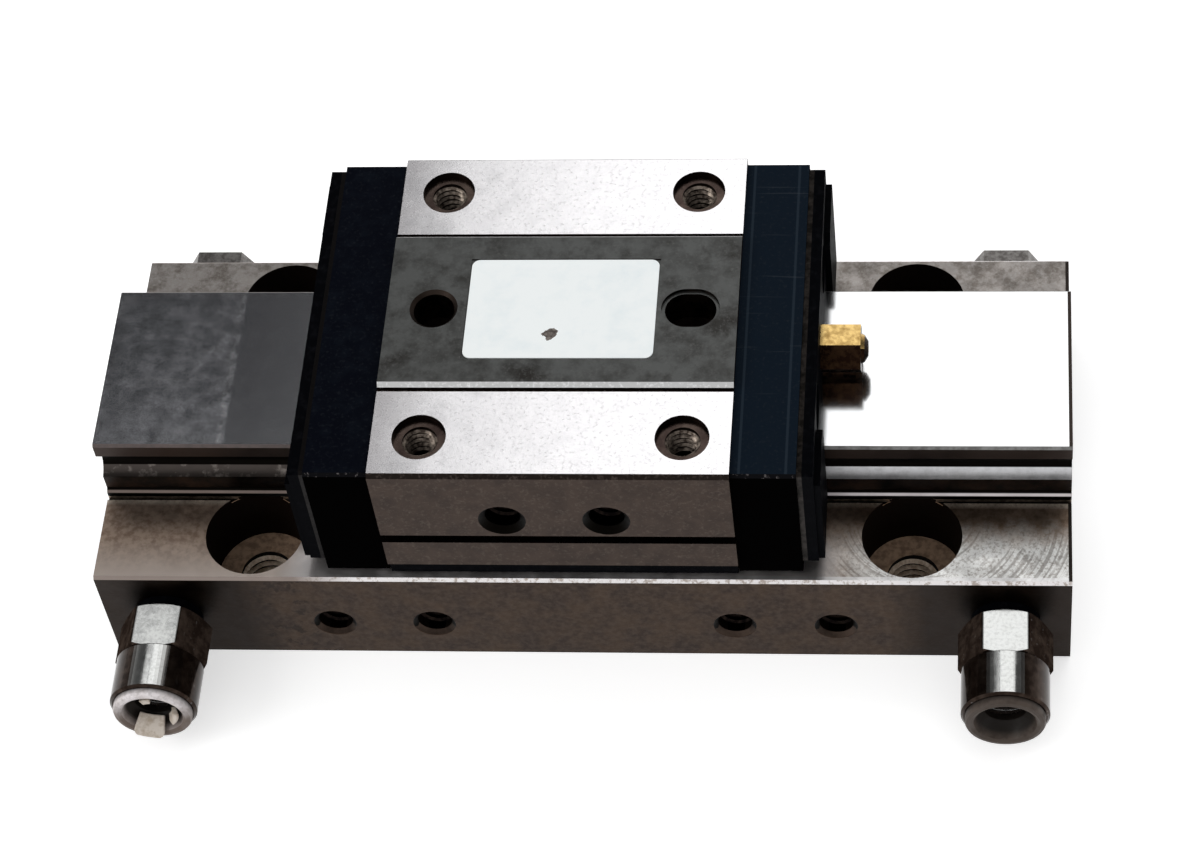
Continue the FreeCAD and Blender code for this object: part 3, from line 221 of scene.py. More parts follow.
def grinding_effect():
    """Fine lines along X with short scratches across them, as a grinding wheel and use leave."""
    effect, takes, gives = new_effect("grinding", [
        ("Place", "NodeSocketVector", (0, 0, 0)), ("Line mm", "NodeSocketFloat", 0.12),
    ], [("Lines", "NodeSocketFloat"), ("Scratches", "NodeSocketFloat")])
    scale = add_step(effect, "ShaderNodeMath", [(0, 1000.0), (1, takes["Line mm"])], operation="DIVIDE")
    drawn = add_step(effect, "ShaderNodeMapping", [("Vector", takes["Place"]), ("Scale", (0.03, 1, 1))])
    lines = add_step(effect, "ShaderNodeTexNoise", [
        ("Vector", drawn.outputs[0]), ("Scale", scale.outputs[0]), ("Detail", 3.0)])
    turned = add_step(effect, "ShaderNodeMapping", [
        ("Vector", takes["Place"]), ("Rotation", (0, 0, 0.5)), ("Scale", (0.04, 1, 1))])
    marks = add_step(effect, "ShaderNodeTexNoise", [
        ("Vector", turned.outputs[0]), ("Scale", 2600.0), ("Detail", 2.0)])
    sharp = add_step(effect, "ShaderNodeMapRange", [
        ("Value", marks.outputs["Fac"]), ("From Min", 0.68), ("From Max", 0.74)])
    effect.links.new(lines.outputs["Fac"], gives["Lines"])
    effect.links.new(sharp.outputs["Result"], gives["Scratches"])
    return effect


def cutter_arcs_effect():
    """Arcs that an end mill leaves about a centre."""
    effect, takes, gives = new_effect("cutter arcs", [
        ("Place", "NodeSocketVector", (0, 0, 0)), ("Centre", "NodeSocketVector", (0, 0, 0)),
        ("Spacing mm", "NodeSocketFloat", 0.8),
    ], [("Mask", "NodeSocketFloat")])
    flat = add_step(effect, "ShaderNodeVectorMath", [(0, takes["Place"]), (1, (1, 1, 0))],
                    operation="MULTIPLY")
    reach = add_step(effect, "ShaderNodeVectorMath", [(0, flat.outputs[0]), (1, takes["Centre"])],
                     operation="DISTANCE")
    count = add_step(effect, "ShaderNodeMath", [(0, 1000.0), (1, takes["Spacing mm"])], operation="DIVIDE")
    waves = add_step(effect, "ShaderNodeMath", [(0, reach.outputs["Value"]), (1, count.outputs[0])],
                     operation="MULTIPLY")
    uneven = add_step(effect, "ShaderNodeTexNoise", [
        ("W", waves.outputs[0]), ("Scale", 2.1), ("Detail", 2.0)], noise_dimensions="1D")
    broken = add_step(effect, "ShaderNodeTexNoise", [
        ("Vector", takes["Place"]), ("Scale", 260.0), ("Detail", 2.0)])
    both = add_step(effect, "ShaderNodeMath", [(0, uneven.outputs["Fac"]), (1, broken.outputs["Fac"])],
                    operation="MULTIPLY")
    mask = add_step(effect, "ShaderNodeMapRange", [
        ("Value", both.outputs[0]), ("From Min", 0.27), ("From Max", 0.36)])
    effect.links.new(mask.outputs["Result"], gives["Mask"])
    return effect


patches = patches_effect()
between = between_effect()
grinding = grinding_effect()
cutter_arcs = cutter_arcs_effect()


class Finish:
    """A piece's material while it is put together, with the places and directions that it reads."""

    def __init__(self, name):
        self.material = bpy.data.materials.new(name)
        self.material.use_nodes = True
        self.tree = self.material.node_tree
        self.surface = self.tree.nodes["Principled BSDF"]
        self.place = self.step("ShaderNodeTexCoord").outputs["Object"]
        apart = self.step("ShaderNodeSeparateXYZ", [("Vector", self.place)])
        self.x, self.y, self.z = (apart.outputs[axis] for axis in "XYZ")
        facing = self.step("ShaderNodeNewGeometry").outputs["True Normal"]
        apart = self.step("ShaderNodeSeparateXYZ", [("Vector", facing)])
        self.facing_y, self.facing_z = (apart.outputs[axis] for axis in "YZ")

    def step(self, kind, inputs=(), **settings):
        return add_step(self.tree, kind, inputs, **settings)

    def sum(self, operation, first, second):
        return self.step("ShaderNodeMath", [(0, first), (1, second)], operation=operation).outputs[0]

    def effect(self, group, output, **inputs):
        named = [(label.replace("_", " "), value) for label, value in inputs.items()]
        return self.step("ShaderNodeGroup", named, node_tree=group).outputs[output]

    def patch(self, size, low, high, seed=0.0):
        return self.effect(patches, "Mask", Place=self.place, Size_mm=size, Low=low, High=high, Seed=seed)

    def inside(self, value, low, high, soft=0.00005):
        return self.effect(between, "Mask", Value=value, From=low, To=high, Soft=soft)

    def blend(self, share, first, second):
        """A mix of two colours, each a triple or a step's output."""
        pair = [(*item, 1) if isinstance(item, tuple) else item for item in (first, second)]
        mixed = self.step("ShaderNodeMix", data_type="RGBA")
        for socket, value in (("Factor_Float", share), ("A_Color", pair[0]), ("B_Color", pair[1])):
            target = next(item for item in mixed.inputs if item.identifier == socket)
            if isinstance(value, bpy.types.NodeSocket):
                self.tree.links.new(value, target)
            else:
                target.default_value = value
        return next(item for item in mixed.outputs if item.identifier == "Result_Color")

    def ramp(self, value, low, high):
        """0 at the low value, 1 at the high one and even between them."""
        slope = self.step("ShaderNodeMapRange", [("Value", value), ("From Min", low), ("From Max", high)])
        return slope.outputs["Result"]

    def size_of(self, value):
        return self.step("ShaderNodeMath", [(0, value)], operation="ABSOLUTE").outputs[0]

    def level(self, share, first, second):
        """A mix of two numbers, each plain or a step's output."""
        return self.step("ShaderNodeMix", [("Factor", share), ("A", first), ("B", second)]).outputs["Result"]

    def feed(self, socket, value):
        self.tree.links.new(value, self.surface.inputs[socket])

    def relief(self, height, depth_mm, strength=1.0):
        bump = self.step("ShaderNodeBump", [
            ("Height", height), ("Distance", depth_mm * MM), ("Strength", strength)])
        self.feed("Normal", bump.outputs["Normal"])

    def fixed(self, **values):
        for label, value in values.items():
            self.surface.inputs[label.replace("_", " ")].default_value = value


def wear(node_name, finish):
    """Gives a piece of the frame its finish."""
    piece = nodes[node_name]
    piece.data.materials.clear()
    piece.data.materials.append(finish.material)


HOLE_X = 32.5 * MM
HOLE_Y = 14.5 * MM
COUNTERBORE = 4.96 * MM
SEAT_Z = 5.8 * MM
WIPE_LINE = 35.0 * MM
RAIL_TOP = 21.0 * MM
HEAD_UNDERSIDE = 19.25 * MM
RACE_LOW_EDGE = 15.75 * MM
FOOT_TOP = 13.9 * MM
SHELF_TOP = 13.0 * MM
RELIEF_FLOOR = 12.5 * MM
BODY_SIDE = 20.0 * MM
BODY_END = 48.0 * MM
RAIL_FOOT = 10.1 * MM
TAP_Z = 5.2 * MM
OUTER_TAP = 25.0 * MM
BLACK = (0.003, 0.0025, 0.002)

steel = Finish("oiled bar steel")
flat = steel.sum("GREATER_THAN", steel.facing_z, 0.985)
sloped = steel.inside(steel.facing_z, 0.2, 0.9, 0.01)
outward = steel.size_of(steel.y)
far_along = steel.size_of(steel.x)
left_end = steel.sum("LESS_THAN", steel.x, 0.0)
dirt = steel.patch(2.6, 0.38, 0.62)
fine_dirt = steel.patch(0.7, 0.42, 0.62, 0.3)
grit = steel.patch(0.28, 0.46, 0.66, 0.8)
both_dirt = steel.sum("MULTIPLY", dirt, fine_dirt)
lines = steel.effect(grinding, "Lines", Place=steel.place)
scratches = steel.effect(grinding, "Scratches", Place=steel.place)

# Long sides of the base: dark brown as a painted reflection, mottled with dirt, and darker beside the
# fittings as their painted shadow and reflection
side = steel.blend(dirt, (0.022, 0.012, 0.008), (0.051, 0.032, 0.021))
side = steel.blend(steel.sum("MULTIPLY", fine_dirt, 0.35), side, (0.087, 0.062, 0.047))
beside = steel.ramp(far_along, 30 * MM, 34 * MM)
side = steel.blend(steel.sum("MULTIPLY", beside, 0.85), side, (0.010, 0.0055, 0.0035))
stain = steel.sum("MULTIPLY", steel.inside(steel.x, -33 * MM, -26 * MM, 1.0 * MM),
                  steel.patch(1.4, 0.54, 0.60, 0.25))
side = steel.blend(steel.sum("MULTIPLY", stain, 0.7), side, (0.012, 0.007, 0.005))

# Sides of the rail, from its head down past the race to the foot
# The head's side is painted dark brown as a reflection, and below the head the race is painted black as
# shade.
in_head = steel.sum("GREATER_THAN", steel.z, HEAD_UNDERSIDE)
rail_face = steel.blend(in_head, BLACK, (0.040, 0.029, 0.025))
# Below the race the side is painted dark brown as a reflection, mottled with dirt.
under_race = steel.inside(steel.z, FOOT_TOP + 0.05 * MM, RACE_LOW_EDGE)
dirt_and_dark_reflection = steel.blend(dirt, (0.004, 0.003, 0.003), (0.034, 0.021, 0.015))
rail_face = steel.blend(under_race, rail_face, dirt_and_dark_reflection)
# The race's lower flank, which faces up, is a painted highlight: near white on the right, dimmer and patchy
# on the left.
lower_lip = steel.ramp(steel.z, 16.2 * MM, 15.8 * MM)
right_flank = steel.blend(lower_lip, (0.66, 0.66, 0.68), (1.0, 0.99, 1.0))
right_flank = steel.blend(steel.sum("MULTIPLY", fine_dirt, 0.2), right_flank, (0.25, 0.24, 0.24))
left_flank = steel.blend(steel.patch(1.6, 0.55, 0.70, 0.9), (0.065, 0.055, 0.050), (0.26, 0.23, 0.21))
flank = steel.sum("MULTIPLY", steel.inside(steel.z, RACE_LOW_EDGE, 16.5 * MM),
                  steel.sum("GREATER_THAN", steel.facing_z, 0.12))
rail_face = steel.blend(flank, rail_face, steel.blend(left_end, right_flank, left_flank))
# A thin painted highlight along the rail's foot, bright on the right and dim on the left.
foot_line = steel.inside(steel.z, 13.48 * MM, 13.74 * MM)
rail_face = steel.blend(foot_line, rail_face, steel.blend(left_end, (0.62, 0.58, 0.59), (0.17, 0.135, 0.12)))
# The rail's wall inside the relief groove is painted light brown in patches, as if lit.
under_foot = steel.sum("LESS_THAN", steel.z, SHELF_TOP - 0.05 * MM)
foot_wall_painted_lit = steel.blend(fine_dirt, (0.62, 0.50, 0.39), (0.36, 0.28, 0.22))
rail_face = steel.blend(under_foot, rail_face, foot_wall_painted_lit)
rail_edge = steel.sum("GREATER_THAN", steel.z, RAIL_TOP - 0.28 * MM)
edge_tone = steel.blend(left_end, (0.26, 0.26, 0.255), (0.13, 0.105, 0.10))
edge_tone = steel.blend(steel.sum("MULTIPLY", fine_dirt, 0.6), edge_tone, (0.09, 0.082, 0.078))
rail_face = steel.blend(rail_edge, rail_face, edge_tone)
beside_rail = steel.sum("MULTIPLY", steel.sum("LESS_THAN", outward, RAIL_FOOT + 0.1 * MM),
                        steel.sum("GREATER_THAN", steel.z, RELIEF_FLOOR + 0.02 * MM))
beside_rail = steel.sum("MULTIPLY", beside_rail,
                        steel.sum("LESS_THAN", far_along, BODY_END - 0.02 * MM))
side = steel.blend(beside_rail, side, rail_face)

# Shelves of the base: brown by the rail, and milled silver toward the front edge on the right
right_share = steel.ramp(steel.x, 22 * MM, 30 * MM)
toward_edge = steel.sum("ADD", outward, steel.sum("MULTIPLY", dirt, 1.2 * MM))
toward_edge = steel.ramp(toward_edge, 13.3 * MM, 16.9 * MM)
brown = steel.blend(fine_dirt, (0.56, 0.43, 0.34), (0.36, 0.255, 0.195))
brown = steel.blend(right_share, brown, steel.blend(fine_dirt, (0.34, 0.25, 0.19), (0.22, 0.155, 0.11)))
brown = steel.blend(steel.sum("MULTIPLY", steel.ramp(outward, 15 * MM, 19.5 * MM), left_end), brown,
                    (0.66, 0.57, 0.51))
silver = steel.blend(grit, (0.98, 0.98, 0.96), (0.50, 0.47, 0.44))
arcs = steel.effect(cutter_arcs, "Mask", Place=steel.place, Centre=(33.5 * MM, -12 * MM, 0))
silver = steel.blend(steel.sum("MULTIPLY", arcs, 0.6), silver, (0.30, 0.27, 0.25))
shelf = steel.blend(steel.sum("MULTIPLY", right_share, toward_edge), brown, silver)
by_rail = steel.sum("MULTIPLY", steel.ramp(outward, 11.3 * MM, 10.8 * MM), steel.level(grit, 1.0, 0.5))
shelf = steel.blend(by_rail, shelf, (1.0, 0.88, 0.74))
by_cap = steel.sum("MULTIPLY", steel.inside(steel.x, -30 * MM, 26 * MM, 3 * MM),
                   steel.ramp(outward, 14 * MM, 17 * MM))
shelf = steel.blend(steel.sum("MULTIPLY", by_cap, 0.8), shelf, (0.95, 0.92, 0.92))
by_edge = steel.sum("MULTIPLY", steel.sum("GREATER_THAN", outward, BODY_SIDE - 0.7 * MM),
                    steel.ramp(steel.x, -28 * MM, -20 * MM))
shelf = steel.blend(steel.sum("MULTIPLY", by_edge, 0.7), shelf, (1.0, 0.99, 0.99))
back_shelf = steel.blend(steel.patch(1.5, 0.42, 0.60, 0.15), (0.38, 0.35, 0.33), (0.21, 0.185, 0.165))
back_shelf = steel.blend(steel.sum("MULTIPLY", grit, 0.3), back_shelf, (0.55, 0.54, 0.52))
shelf = steel.blend(steel.sum("GREATER_THAN", steel.y, 0.0), shelf, back_shelf)
# The floor of the relief groove is painted black as shade.
in_relief = steel.sum("MULTIPLY", steel.sum("LESS_THAN", outward, RAIL_FOOT + 0.6 * MM),
                      steel.sum("LESS_THAN", steel.z, RELIEF_FLOOR + 0.3 * MM))
shelf = steel.blend(in_relief, shelf, BLACK)

# Ground top of the rail: near white on the right, partly as a painted reflection of the back light, and
# mottled on the left; clean where the carriage wipes it, and filmed with oil beyond on the left
unswept = steel.sum("SUBTRACT", 1.0, steel.inside(steel.x, -WIPE_LINE, WIPE_LINE, 0.2 * MM))
oil = steel.patch(1.6, 0.35, 0.66, 0.7)
film = steel.sum("MULTIPLY", steel.sum("MULTIPLY", unswept, left_end), oil)
mottled = steel.blend(grit, (0.42, 0.425, 0.45), (0.31, 0.315, 0.335))
mottled = steel.blend(steel.sum("MULTIPLY", both_dirt, 0.4), mottled, (0.52, 0.53, 0.55))
ground = steel.blend(left_end, (0.88, 0.89, 0.90), mottled)
ground = steel.blend(steel.sum("MULTIPLY", film, 0.3), ground, (0.27, 0.27, 0.29))
wipe_mark = steel.sum("MULTIPLY", steel.inside(steel.x, -35.9 * MM, -34.9 * MM, 0.4 * MM), fine_dirt)
ground = steel.blend(steel.sum("MULTIPLY", wipe_mark, 0.3), ground, (0.80, 0.80, 0.82))
ground = steel.blend(steel.sum("MULTIPLY", scratches, 0.3), ground, (0.5, 0.5, 0.5))
on_rail = steel.sum("GREATER_THAN", steel.z, RAIL_TOP - 0.5 * MM)
top = steel.blend(on_rail, shelf, ground)
# A thin strip at the right end of the tops is painted dark as shade on the end's edge.
dark_rim = steel.sum("GREATER_THAN", steel.x, BODY_END - 0.35 * MM)
top = steel.blend(dark_rim, top, (0.030, 0.024, 0.021))
colour = steel.blend(flat, side, top)

# Broken top edges of the base, painted bright in patches as a highlight, and darker at the left end
base_edge = steel.sum("MULTIPLY", sloped, steel.sum("GREATER_THAN", outward, BODY_SIDE - 0.4 * MM))
base_edge = steel.sum("MULTIPLY", base_edge, steel.sum("GREATER_THAN", steel.z, SHELF_TOP - 0.4 * MM))
bright_edge = steel.blend(steel.patch(0.5, 0.50, 0.62, 0.6), (0.92, 0.89, 0.89), (0.50, 0.44, 0.40))
painted_highlight_edge = steel.blend(steel.ramp(steel.x, -28 * MM, -22 * MM), (0.30, 0.25, 0.225), bright_edge)
colour = steel.blend(base_edge, colour, painted_highlight_edge)

# Tapped holes in the long sides: painted black as shade, with a brown lip
in_tap = steel.sum("MULTIPLY", steel.inside(steel.z, TAP_Z - 2.3 * MM, TAP_Z + 2.8 * MM),
                   steel.sum("LESS_THAN", outward, BODY_SIDE - 0.03 * MM))
in_tap = steel.sum("MULTIPLY", in_tap, steel.sum("LESS_THAN", far_along, OUTER_TAP + 3 * MM))
lip = steel.sum("MULTIPLY", sloped, steel.level(dirt, 0.9, 0.4))
colour = steel.blend(in_tap, colour, steel.blend(lip, BLACK, (0.060, 0.042, 0.033)))

# Counterbored holes, with a bare brown seat and a wall painted black as shade
across = steel.sum("SUBTRACT", far_along, HOLE_X)
along = steel.sum("SUBTRACT", outward, HOLE_Y)
from_hole = steel.sum("ADD", steel.sum("MULTIPLY", across, across),
                      steel.sum("MULTIPLY", along, along))
in_hole = steel.sum("MULTIPLY", steel.sum("LESS_THAN", from_hole, COUNTERBORE ** 2),
                    steel.sum("LESS_THAN", steel.z, SHELF_TOP - 0.1 * MM))
seat = steel.blend(steel.sum("MULTIPLY", fine_dirt, 0.8), (0.46, 0.31, 0.21), (0.20, 0.13, 0.09))
wall = steel.blend(steel.sum("LESS_THAN", steel.z, SEAT_Z - 0.1 * MM), (0.006, 0.003, 0.002), BLACK)
colour = steel.blend(in_hole, colour, steel.blend(flat, wall, seat))
steel.feed("Base Color", colour)
on_top = steel.sum("MULTIPLY", flat, on_rail)
rough = steel.level(on_top, steel.level(dirt, 0.38, 0.5), steel.level(film, 0.12, 0.2))
steel.feed("Roughness", steel.level(in_hole, rough, 0.6))
steel.feed("Metallic", steel.level(in_hole, 1.0, 0.1))
steel.fixed(Specular_IOR_Level=0.05)
raised = steel.sum("ADD", steel.sum("MULTIPLY", lines, 0.25), both_dirt)
raised = steel.sum("MULTIPLY", raised, steel.level(on_top, 1.0, 0.12))
steel.relief(raised, 0.012, 0.4)
wear("slide_body", steel)


def bare_point(name, place):
    """A mesh with one point, from which an outline is drawn by extruding."""
    bpy.ops.object.select_all(action="DESELECT")
    bpy.ops.mesh.primitive_plane_add(size=1 * MM, location=(0, 0, 0))
    piece = bpy.context.object
    piece.name = name
    bpy.ops.object.mode_set(mode="EDIT")
    bpy.ops.mesh.select_all(action="SELECT")
    bpy.ops.mesh.merge(type="CENTER")
    bpy.ops.transform.translate(value=place)
    return piece


def draw_closed(name, corners):
    """A closed outline in the plane of radius X and axis Z, in millimetres."""
    points = [Vector((radius, 0, along)) * MM for radius, along in corners]
    piece = bare_point(name, points[0])
    for before, after in zip(points, points[1:] + points[:1]):
        bpy.ops.mesh.extrude_vertices_move(TRANSFORM_OT_translate={"value": after - before})
    bpy.ops.mesh.select_all(action="SELECT")
    bpy.ops.mesh.remove_doubles(threshold=0.001 * MM)
    bpy.ops.object.mode_set(mode="OBJECT")
    return piece


def tidy_mesh(piece, smooth_degrees):
    bpy.ops.object.select_all(action="DESELECT")
    bpy.context.view_layer.objects.active = piece
    piece.select_set(True)
    bpy.ops.object.mode_set(mode="EDIT")
    bpy.ops.mesh.select_all(action="SELECT")
    bpy.ops.mesh.remove_doubles(threshold=0.001 * MM)
    bpy.ops.mesh.normals_make_consistent(inside=False)
    bpy.ops.object.mode_set(mode="OBJECT")
    bpy.ops.object.shade_smooth_by_angle(angle=math.radians(smooth_degrees))


def cut_thread(name, bore_radius, pitch, turns):
    """The crests of a tapped thread, as one closed coil about Z that ends at the origin."""
    depth = 0.36 * pitch
    half = 0.30 * pitch
    start = -turns * pitch
    root = bore_radius + 0.03
    coil = draw_closed(name, [(root, start - half), (bore_radius - depth, start), (root, start + half)])
    winding = coil.modifiers.new("winding", "SCREW")
    winding.axis = "Z"
    winding.steps = 28
    winding.render_steps = 28
    winding.iterations = turns
    winding.screw_offset = pitch * MM
    winding.use_normal_calculate = True
    bpy.ops.object.modifier_apply(modifier=winding.name)
    bpy.ops.object.mode_set(mode="EDIT")
    bpy.ops.mesh.select_all(action="SELECT")
    bpy.ops.mesh.fill_holes(sides=3)
    bpy.ops.object.mode_set(mode="OBJECT")
    tidy_mesh(coil, 30)
    return coil


def set_copies(pattern, name, places, turn=(0, 0, 0)):
    """Copies a piece to each place, turned by the given degrees, and joins them as one piece."""
    bpy.ops.object.select_all(action="DESELECT")
    copies = []
    for place in places:
        twin = pattern.copy()
        twin.data = pattern.data.copy()
        twin.location = Vector(place) * MM
        twin.rotation_euler = [math.radians(angle) for angle in turn]
        bpy.context.scene.collection.objects.link(twin)
        twin.select_set(True)
        copies.append(twin)
    bpy.context.view_layer.objects.active = copies[0]
    bpy.ops.object.transform_apply(location=True, rotation=True, scale=True)
    if len(copies) > 1:
        bpy.ops.object.join()
    copies[0].name = name
    return copies[0]


def dress(piece, finish, body):
    piece.data.materials.clear()
    piece.data.materials.append(finish.material)
    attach(piece, body)


# Threads in the base
# Screws are held by threads cut into the base: M6 in the four counterbored holes, whose crests
# are painted pale as highlights, and M4 in the tapped holes of both long sides, whose crests
# are painted black as shade.


def crest_finish(name, pale, dark, sheen):
    """Thread crests in a pale and a dark colour, mixed in patches. A pale colour is a painted highlight, and
    a near-black one painted shade.
    """
    finish = Finish(name)
    wet = finish.patch(0.5, 0.35, 0.6)
    finish.feed("Base Color", finish.blend(wet, pale, dark))
    finish.feed("Roughness", finish.level(wet, 0.3, 0.45))
    finish.fixed(Metallic=sheen, Specular_IOR_Level=0.1)
    return finish


mount_steel = crest_finish("pale thread crests", (1.0, 0.84, 0.68), (0.60, 0.45, 0.33), 0.1)
mount_spots = [(x, y, 5.6) for x in (-32.5, 32.5) for y in (-14.5, 14.5)]
coil = cut_thread("coil", bore_radius=2.6, pitch=1.0, turns=5)
mount_threads = set_copies(coil, "mount_threads", mount_spots)
dress(mount_threads, mount_steel, "cylinder")
bpy.data.objects.remove(coil)
tap_steel = crest_finish("black thread crests in painted shade", (0.014, 0.010, 0.008), (0.004, 0.003, 0.003), 1.0)
coil = cut_thread("coil", bore_radius=1.7, pitch=0.7, turns=5)
for name, side_y, turn in (("front_threads", -18.6, 90), ("back_threads", 18.6, -90)):
    side_spots = [(x, side_y, 5.2) for x in (-25, -15, 15, 25)]
    side_threads = set_copies(coil, name, side_spots, turn=(turn, 0, 0))
    dress(side_threads, tap_steel, "cylinder")

# Carriage block
# A hardened steel saddle. Its two outer bands are ground bright, and the middle strip between
# them keeps its dark scale. Its long sides are painted dark brown as a reflection, with stains,
# and a groove milled along them is painted black as shade.
BAND_TOP = 30.0 * MM
BLOCK_SIDE = 19.6 * MM
STRIP_SIDE = 9.25 * MM
SLOT_LINE_Z = 19.6 * MM
FACE_TAP_Z = 22.8 * MM

block = Finish("ground block steel")
flat = block.sum("GREATER_THAN", block.facing_z, 0.9)
sloped = block.inside(block.facing_z, 0.3, 0.9, 0.01)
outward = block.size_of(block.y)
stains = block.patch(2.2, 0.40, 0.66, 0.2)
specks = block.patch(0.35, 0.52, 0.72, 0.9)
lines = block.effect(grinding, "Lines", Place=block.place)
bands = block.blend(block.sum("MULTIPLY", specks, 0.07), (0.95, 0.935, 0.95), (0.45, 0.45, 0.47))
bands = block.blend(block.sum("MULTIPLY", stains, 0.12), bands, (0.5, 0.5, 0.52))
uneven_x = block.sum("ADD", block.x, block.sum("MULTIPLY", stains, 2 * MM))
left_share = block.ramp(uneven_x, -11.5 * MM, -17.5 * MM)
bands = block.blend(block.sum("MULTIPLY", left_share, 0.55), bands, (0.34, 0.32, 0.33))
cloudy = block.sum("MULTIPLY", block.ramp(block.x, 0.0, -13 * MM), block.patch(3.2, 0.50, 0.68, 0.35))
bands = block.blend(block.sum("MULTIPLY", cloudy, 0.35), bands, (0.42, 0.42, 0.43))
strip = block.blend(stains, (0.132, 0.136, 0.133), (0.070, 0.070, 0.067))
darker = block.patch(4.5, 0.54, 0.68, 0.5)
strip = block.blend(block.sum("MULTIPLY", darker, 0.7), strip, (0.026, 0.022, 0.019))
strip = block.blend(block.sum("MULTIPLY", specks, 0.5), strip, (0.17, 0.17, 0.165))
on_strip = block.sum("LESS_THAN", outward, STRIP_SIDE - 0.03 * MM)
top = block.blend(on_strip, bands, strip)
# Flat floors below the band top, inside the holes, are painted dark brown as shade.
in_mouth = block.sum("LESS_THAN", block.z, BAND_TOP - 0.1 * MM)
top = block.blend(in_mouth, top, block.blend(stains, (0.045, 0.031, 0.027), (0.10, 0.074, 0.062)))
# Long sides: dark brown as a painted reflection, with stains; the milled groove is painted black as shade.
side = block.blend(stains, (0.046, 0.031, 0.024), (0.030, 0.020, 0.016))
side = block.blend(block.sum("MULTIPLY", specks, 0.4), side, (0.11, 0.088, 0.072))
in_line = block.inside(block.z, SLOT_LINE_Z - 0.7 * MM, SLOT_LINE_Z + 0.7 * MM)
slot_line = block.sum("MULTIPLY", in_line, block.sum("LESS_THAN", outward, BLOCK_SIDE - 0.1 * MM))
side = block.blend(slot_line, side, (0.002, 0.002, 0.002))
in_tap = block.sum("MULTIPLY", block.inside(block.z, FACE_TAP_Z - 2.4 * MM, FACE_TAP_Z + 2.4 * MM),
                   block.sum("LESS_THAN", outward, BLOCK_SIDE - 0.02 * MM))
upper = block.sum("MULTIPLY", block.sum("GREATER_THAN", block.z, FACE_TAP_Z + 2.5 * MM),
                  block.sum("LESS_THAN", outward, BLOCK_SIDE - 0.2 * MM))
side = block.blend(upper, side, (0.030, 0.020, 0.016))
# Outer edges are painted near white as a highlight; lower and inner slopes stay dark.
edge_highlight = block.blend(specks, (0.62, 0.62, 0.62), (0.92, 0.92, 0.93))
dull = block.blend(specks, (0.018, 0.014, 0.012), (0.07, 0.055, 0.048))
on_outer_edge = block.sum("GREATER_THAN", outward, BLOCK_SIDE - 0.6 * MM)
edge = block.blend(on_outer_edge, edge_highlight, dull)
low_slope = block.sum("LESS_THAN", block.z, BAND_TOP - 0.6 * MM)
edge = block.blend(low_slope, edge, dull)

# Sloped faces and walls near the middle are those of the dowel holes, painted dark as shade
by_dowel = block.sum("LESS_THAN", outward, 6.0 * MM)
edge = block.blend(by_dowel, edge, (0.030, 0.022, 0.018))
dowel_wall = block.blend(block.patch(1.2, 0.45, 0.6, 0.3), BLACK, (0.045, 0.030, 0.022))
side = block.blend(by_dowel, side, dowel_wall)

colour = block.blend(sloped, block.blend(flat, side, top), edge)
# The tapped holes in the front are painted black as shade.
block.feed("Base Color", block.blend(in_tap, colour, BLACK))
strip_up = block.sum("MULTIPLY", flat, on_strip)
rough = block.level(flat, 0.42, block.level(specks, 0.22, 0.34))
block.feed("Roughness", block.level(strip_up, rough, 0.45))
block.fixed(Metallic=1.0)
raised = block.sum("ADD", block.sum("MULTIPLY", lines, 0.3), specks)
raised = block.sum("MULTIPLY", raised, block.level(flat, 1.0, 0.3))
block.relief(raised, 0.01, 0.4)
wear("carriage_block", block)

# Threads in the carriage
# M4 threads take the load's screws: four in the bands, whose crests are painted pale as
# highlights, and two in the front, whose crests are painted black as shade.
table_steel = crest_finish("thread crests with painted highlights", (0.42, 0.35, 0.29), (0.06, 0.045, 0.036), 0.6)
table_spots = [(x, y, 29.2) for x in (-13.7, 11.3) for y in (-15, 15)]
table_threads = set_copies(coil, "table_threads", table_spots)
dress(table_threads, table_steel, "carriage")
face_spots = [(x, -17.8, 22.8) for x in (-6.2, 3.8)]
face_threads = set_copies(coil, "face_threads", face_spots, turn=(90, 0, 0))
dress(face_threads, tap_steel, "carriage")
bpy.data.objects.remove(coil)

# Blank label
# A silvered plastic film with round corners, stuck in a shallow seat on the strip. It is bare,
# with one small torn spot.
film = Finish("silvered label film")
smudge = film.patch(3.0, 0.50, 0.80, 0.4)
face = film.blend(smudge, (0.96, 1.0, 1.0), (0.86, 0.93, 0.95))
about_spot = film.step("ShaderNodeMapping", [
    ("Vector", film.place), ("Location", (2.1 * MM, 3.1 * MM, 0)), ("Scale", (1, 1, 0))])
from_spot = film.step("ShaderNodeVectorMath", [(0, about_spot.outputs[0])], operation="LENGTH")
uneven_rim = film.sum("MULTIPLY", film.patch(0.9, 0.3, 0.7, 0.2), 0.5 * MM)
ragged = film.sum("ADD", from_spot.outputs["Value"], uneven_rim)
torn = film.sum("LESS_THAN", ragged, 0.95 * MM)
under_film = film.blend(film.patch(0.5, 0.4, 0.6), (0.05, 0.035, 0.028), (0.20, 0.17, 0.15))
face = film.blend(torn, face, under_film)
film.feed("Base Color", face)
film.feed("Roughness", film.level(smudge, 0.3, 0.45))
film.fixed(Metallic=0.0, Specular_IOR_Level=0.4)
film.relief(smudge, 0.01, 0.3)
wear("blank_label", film)

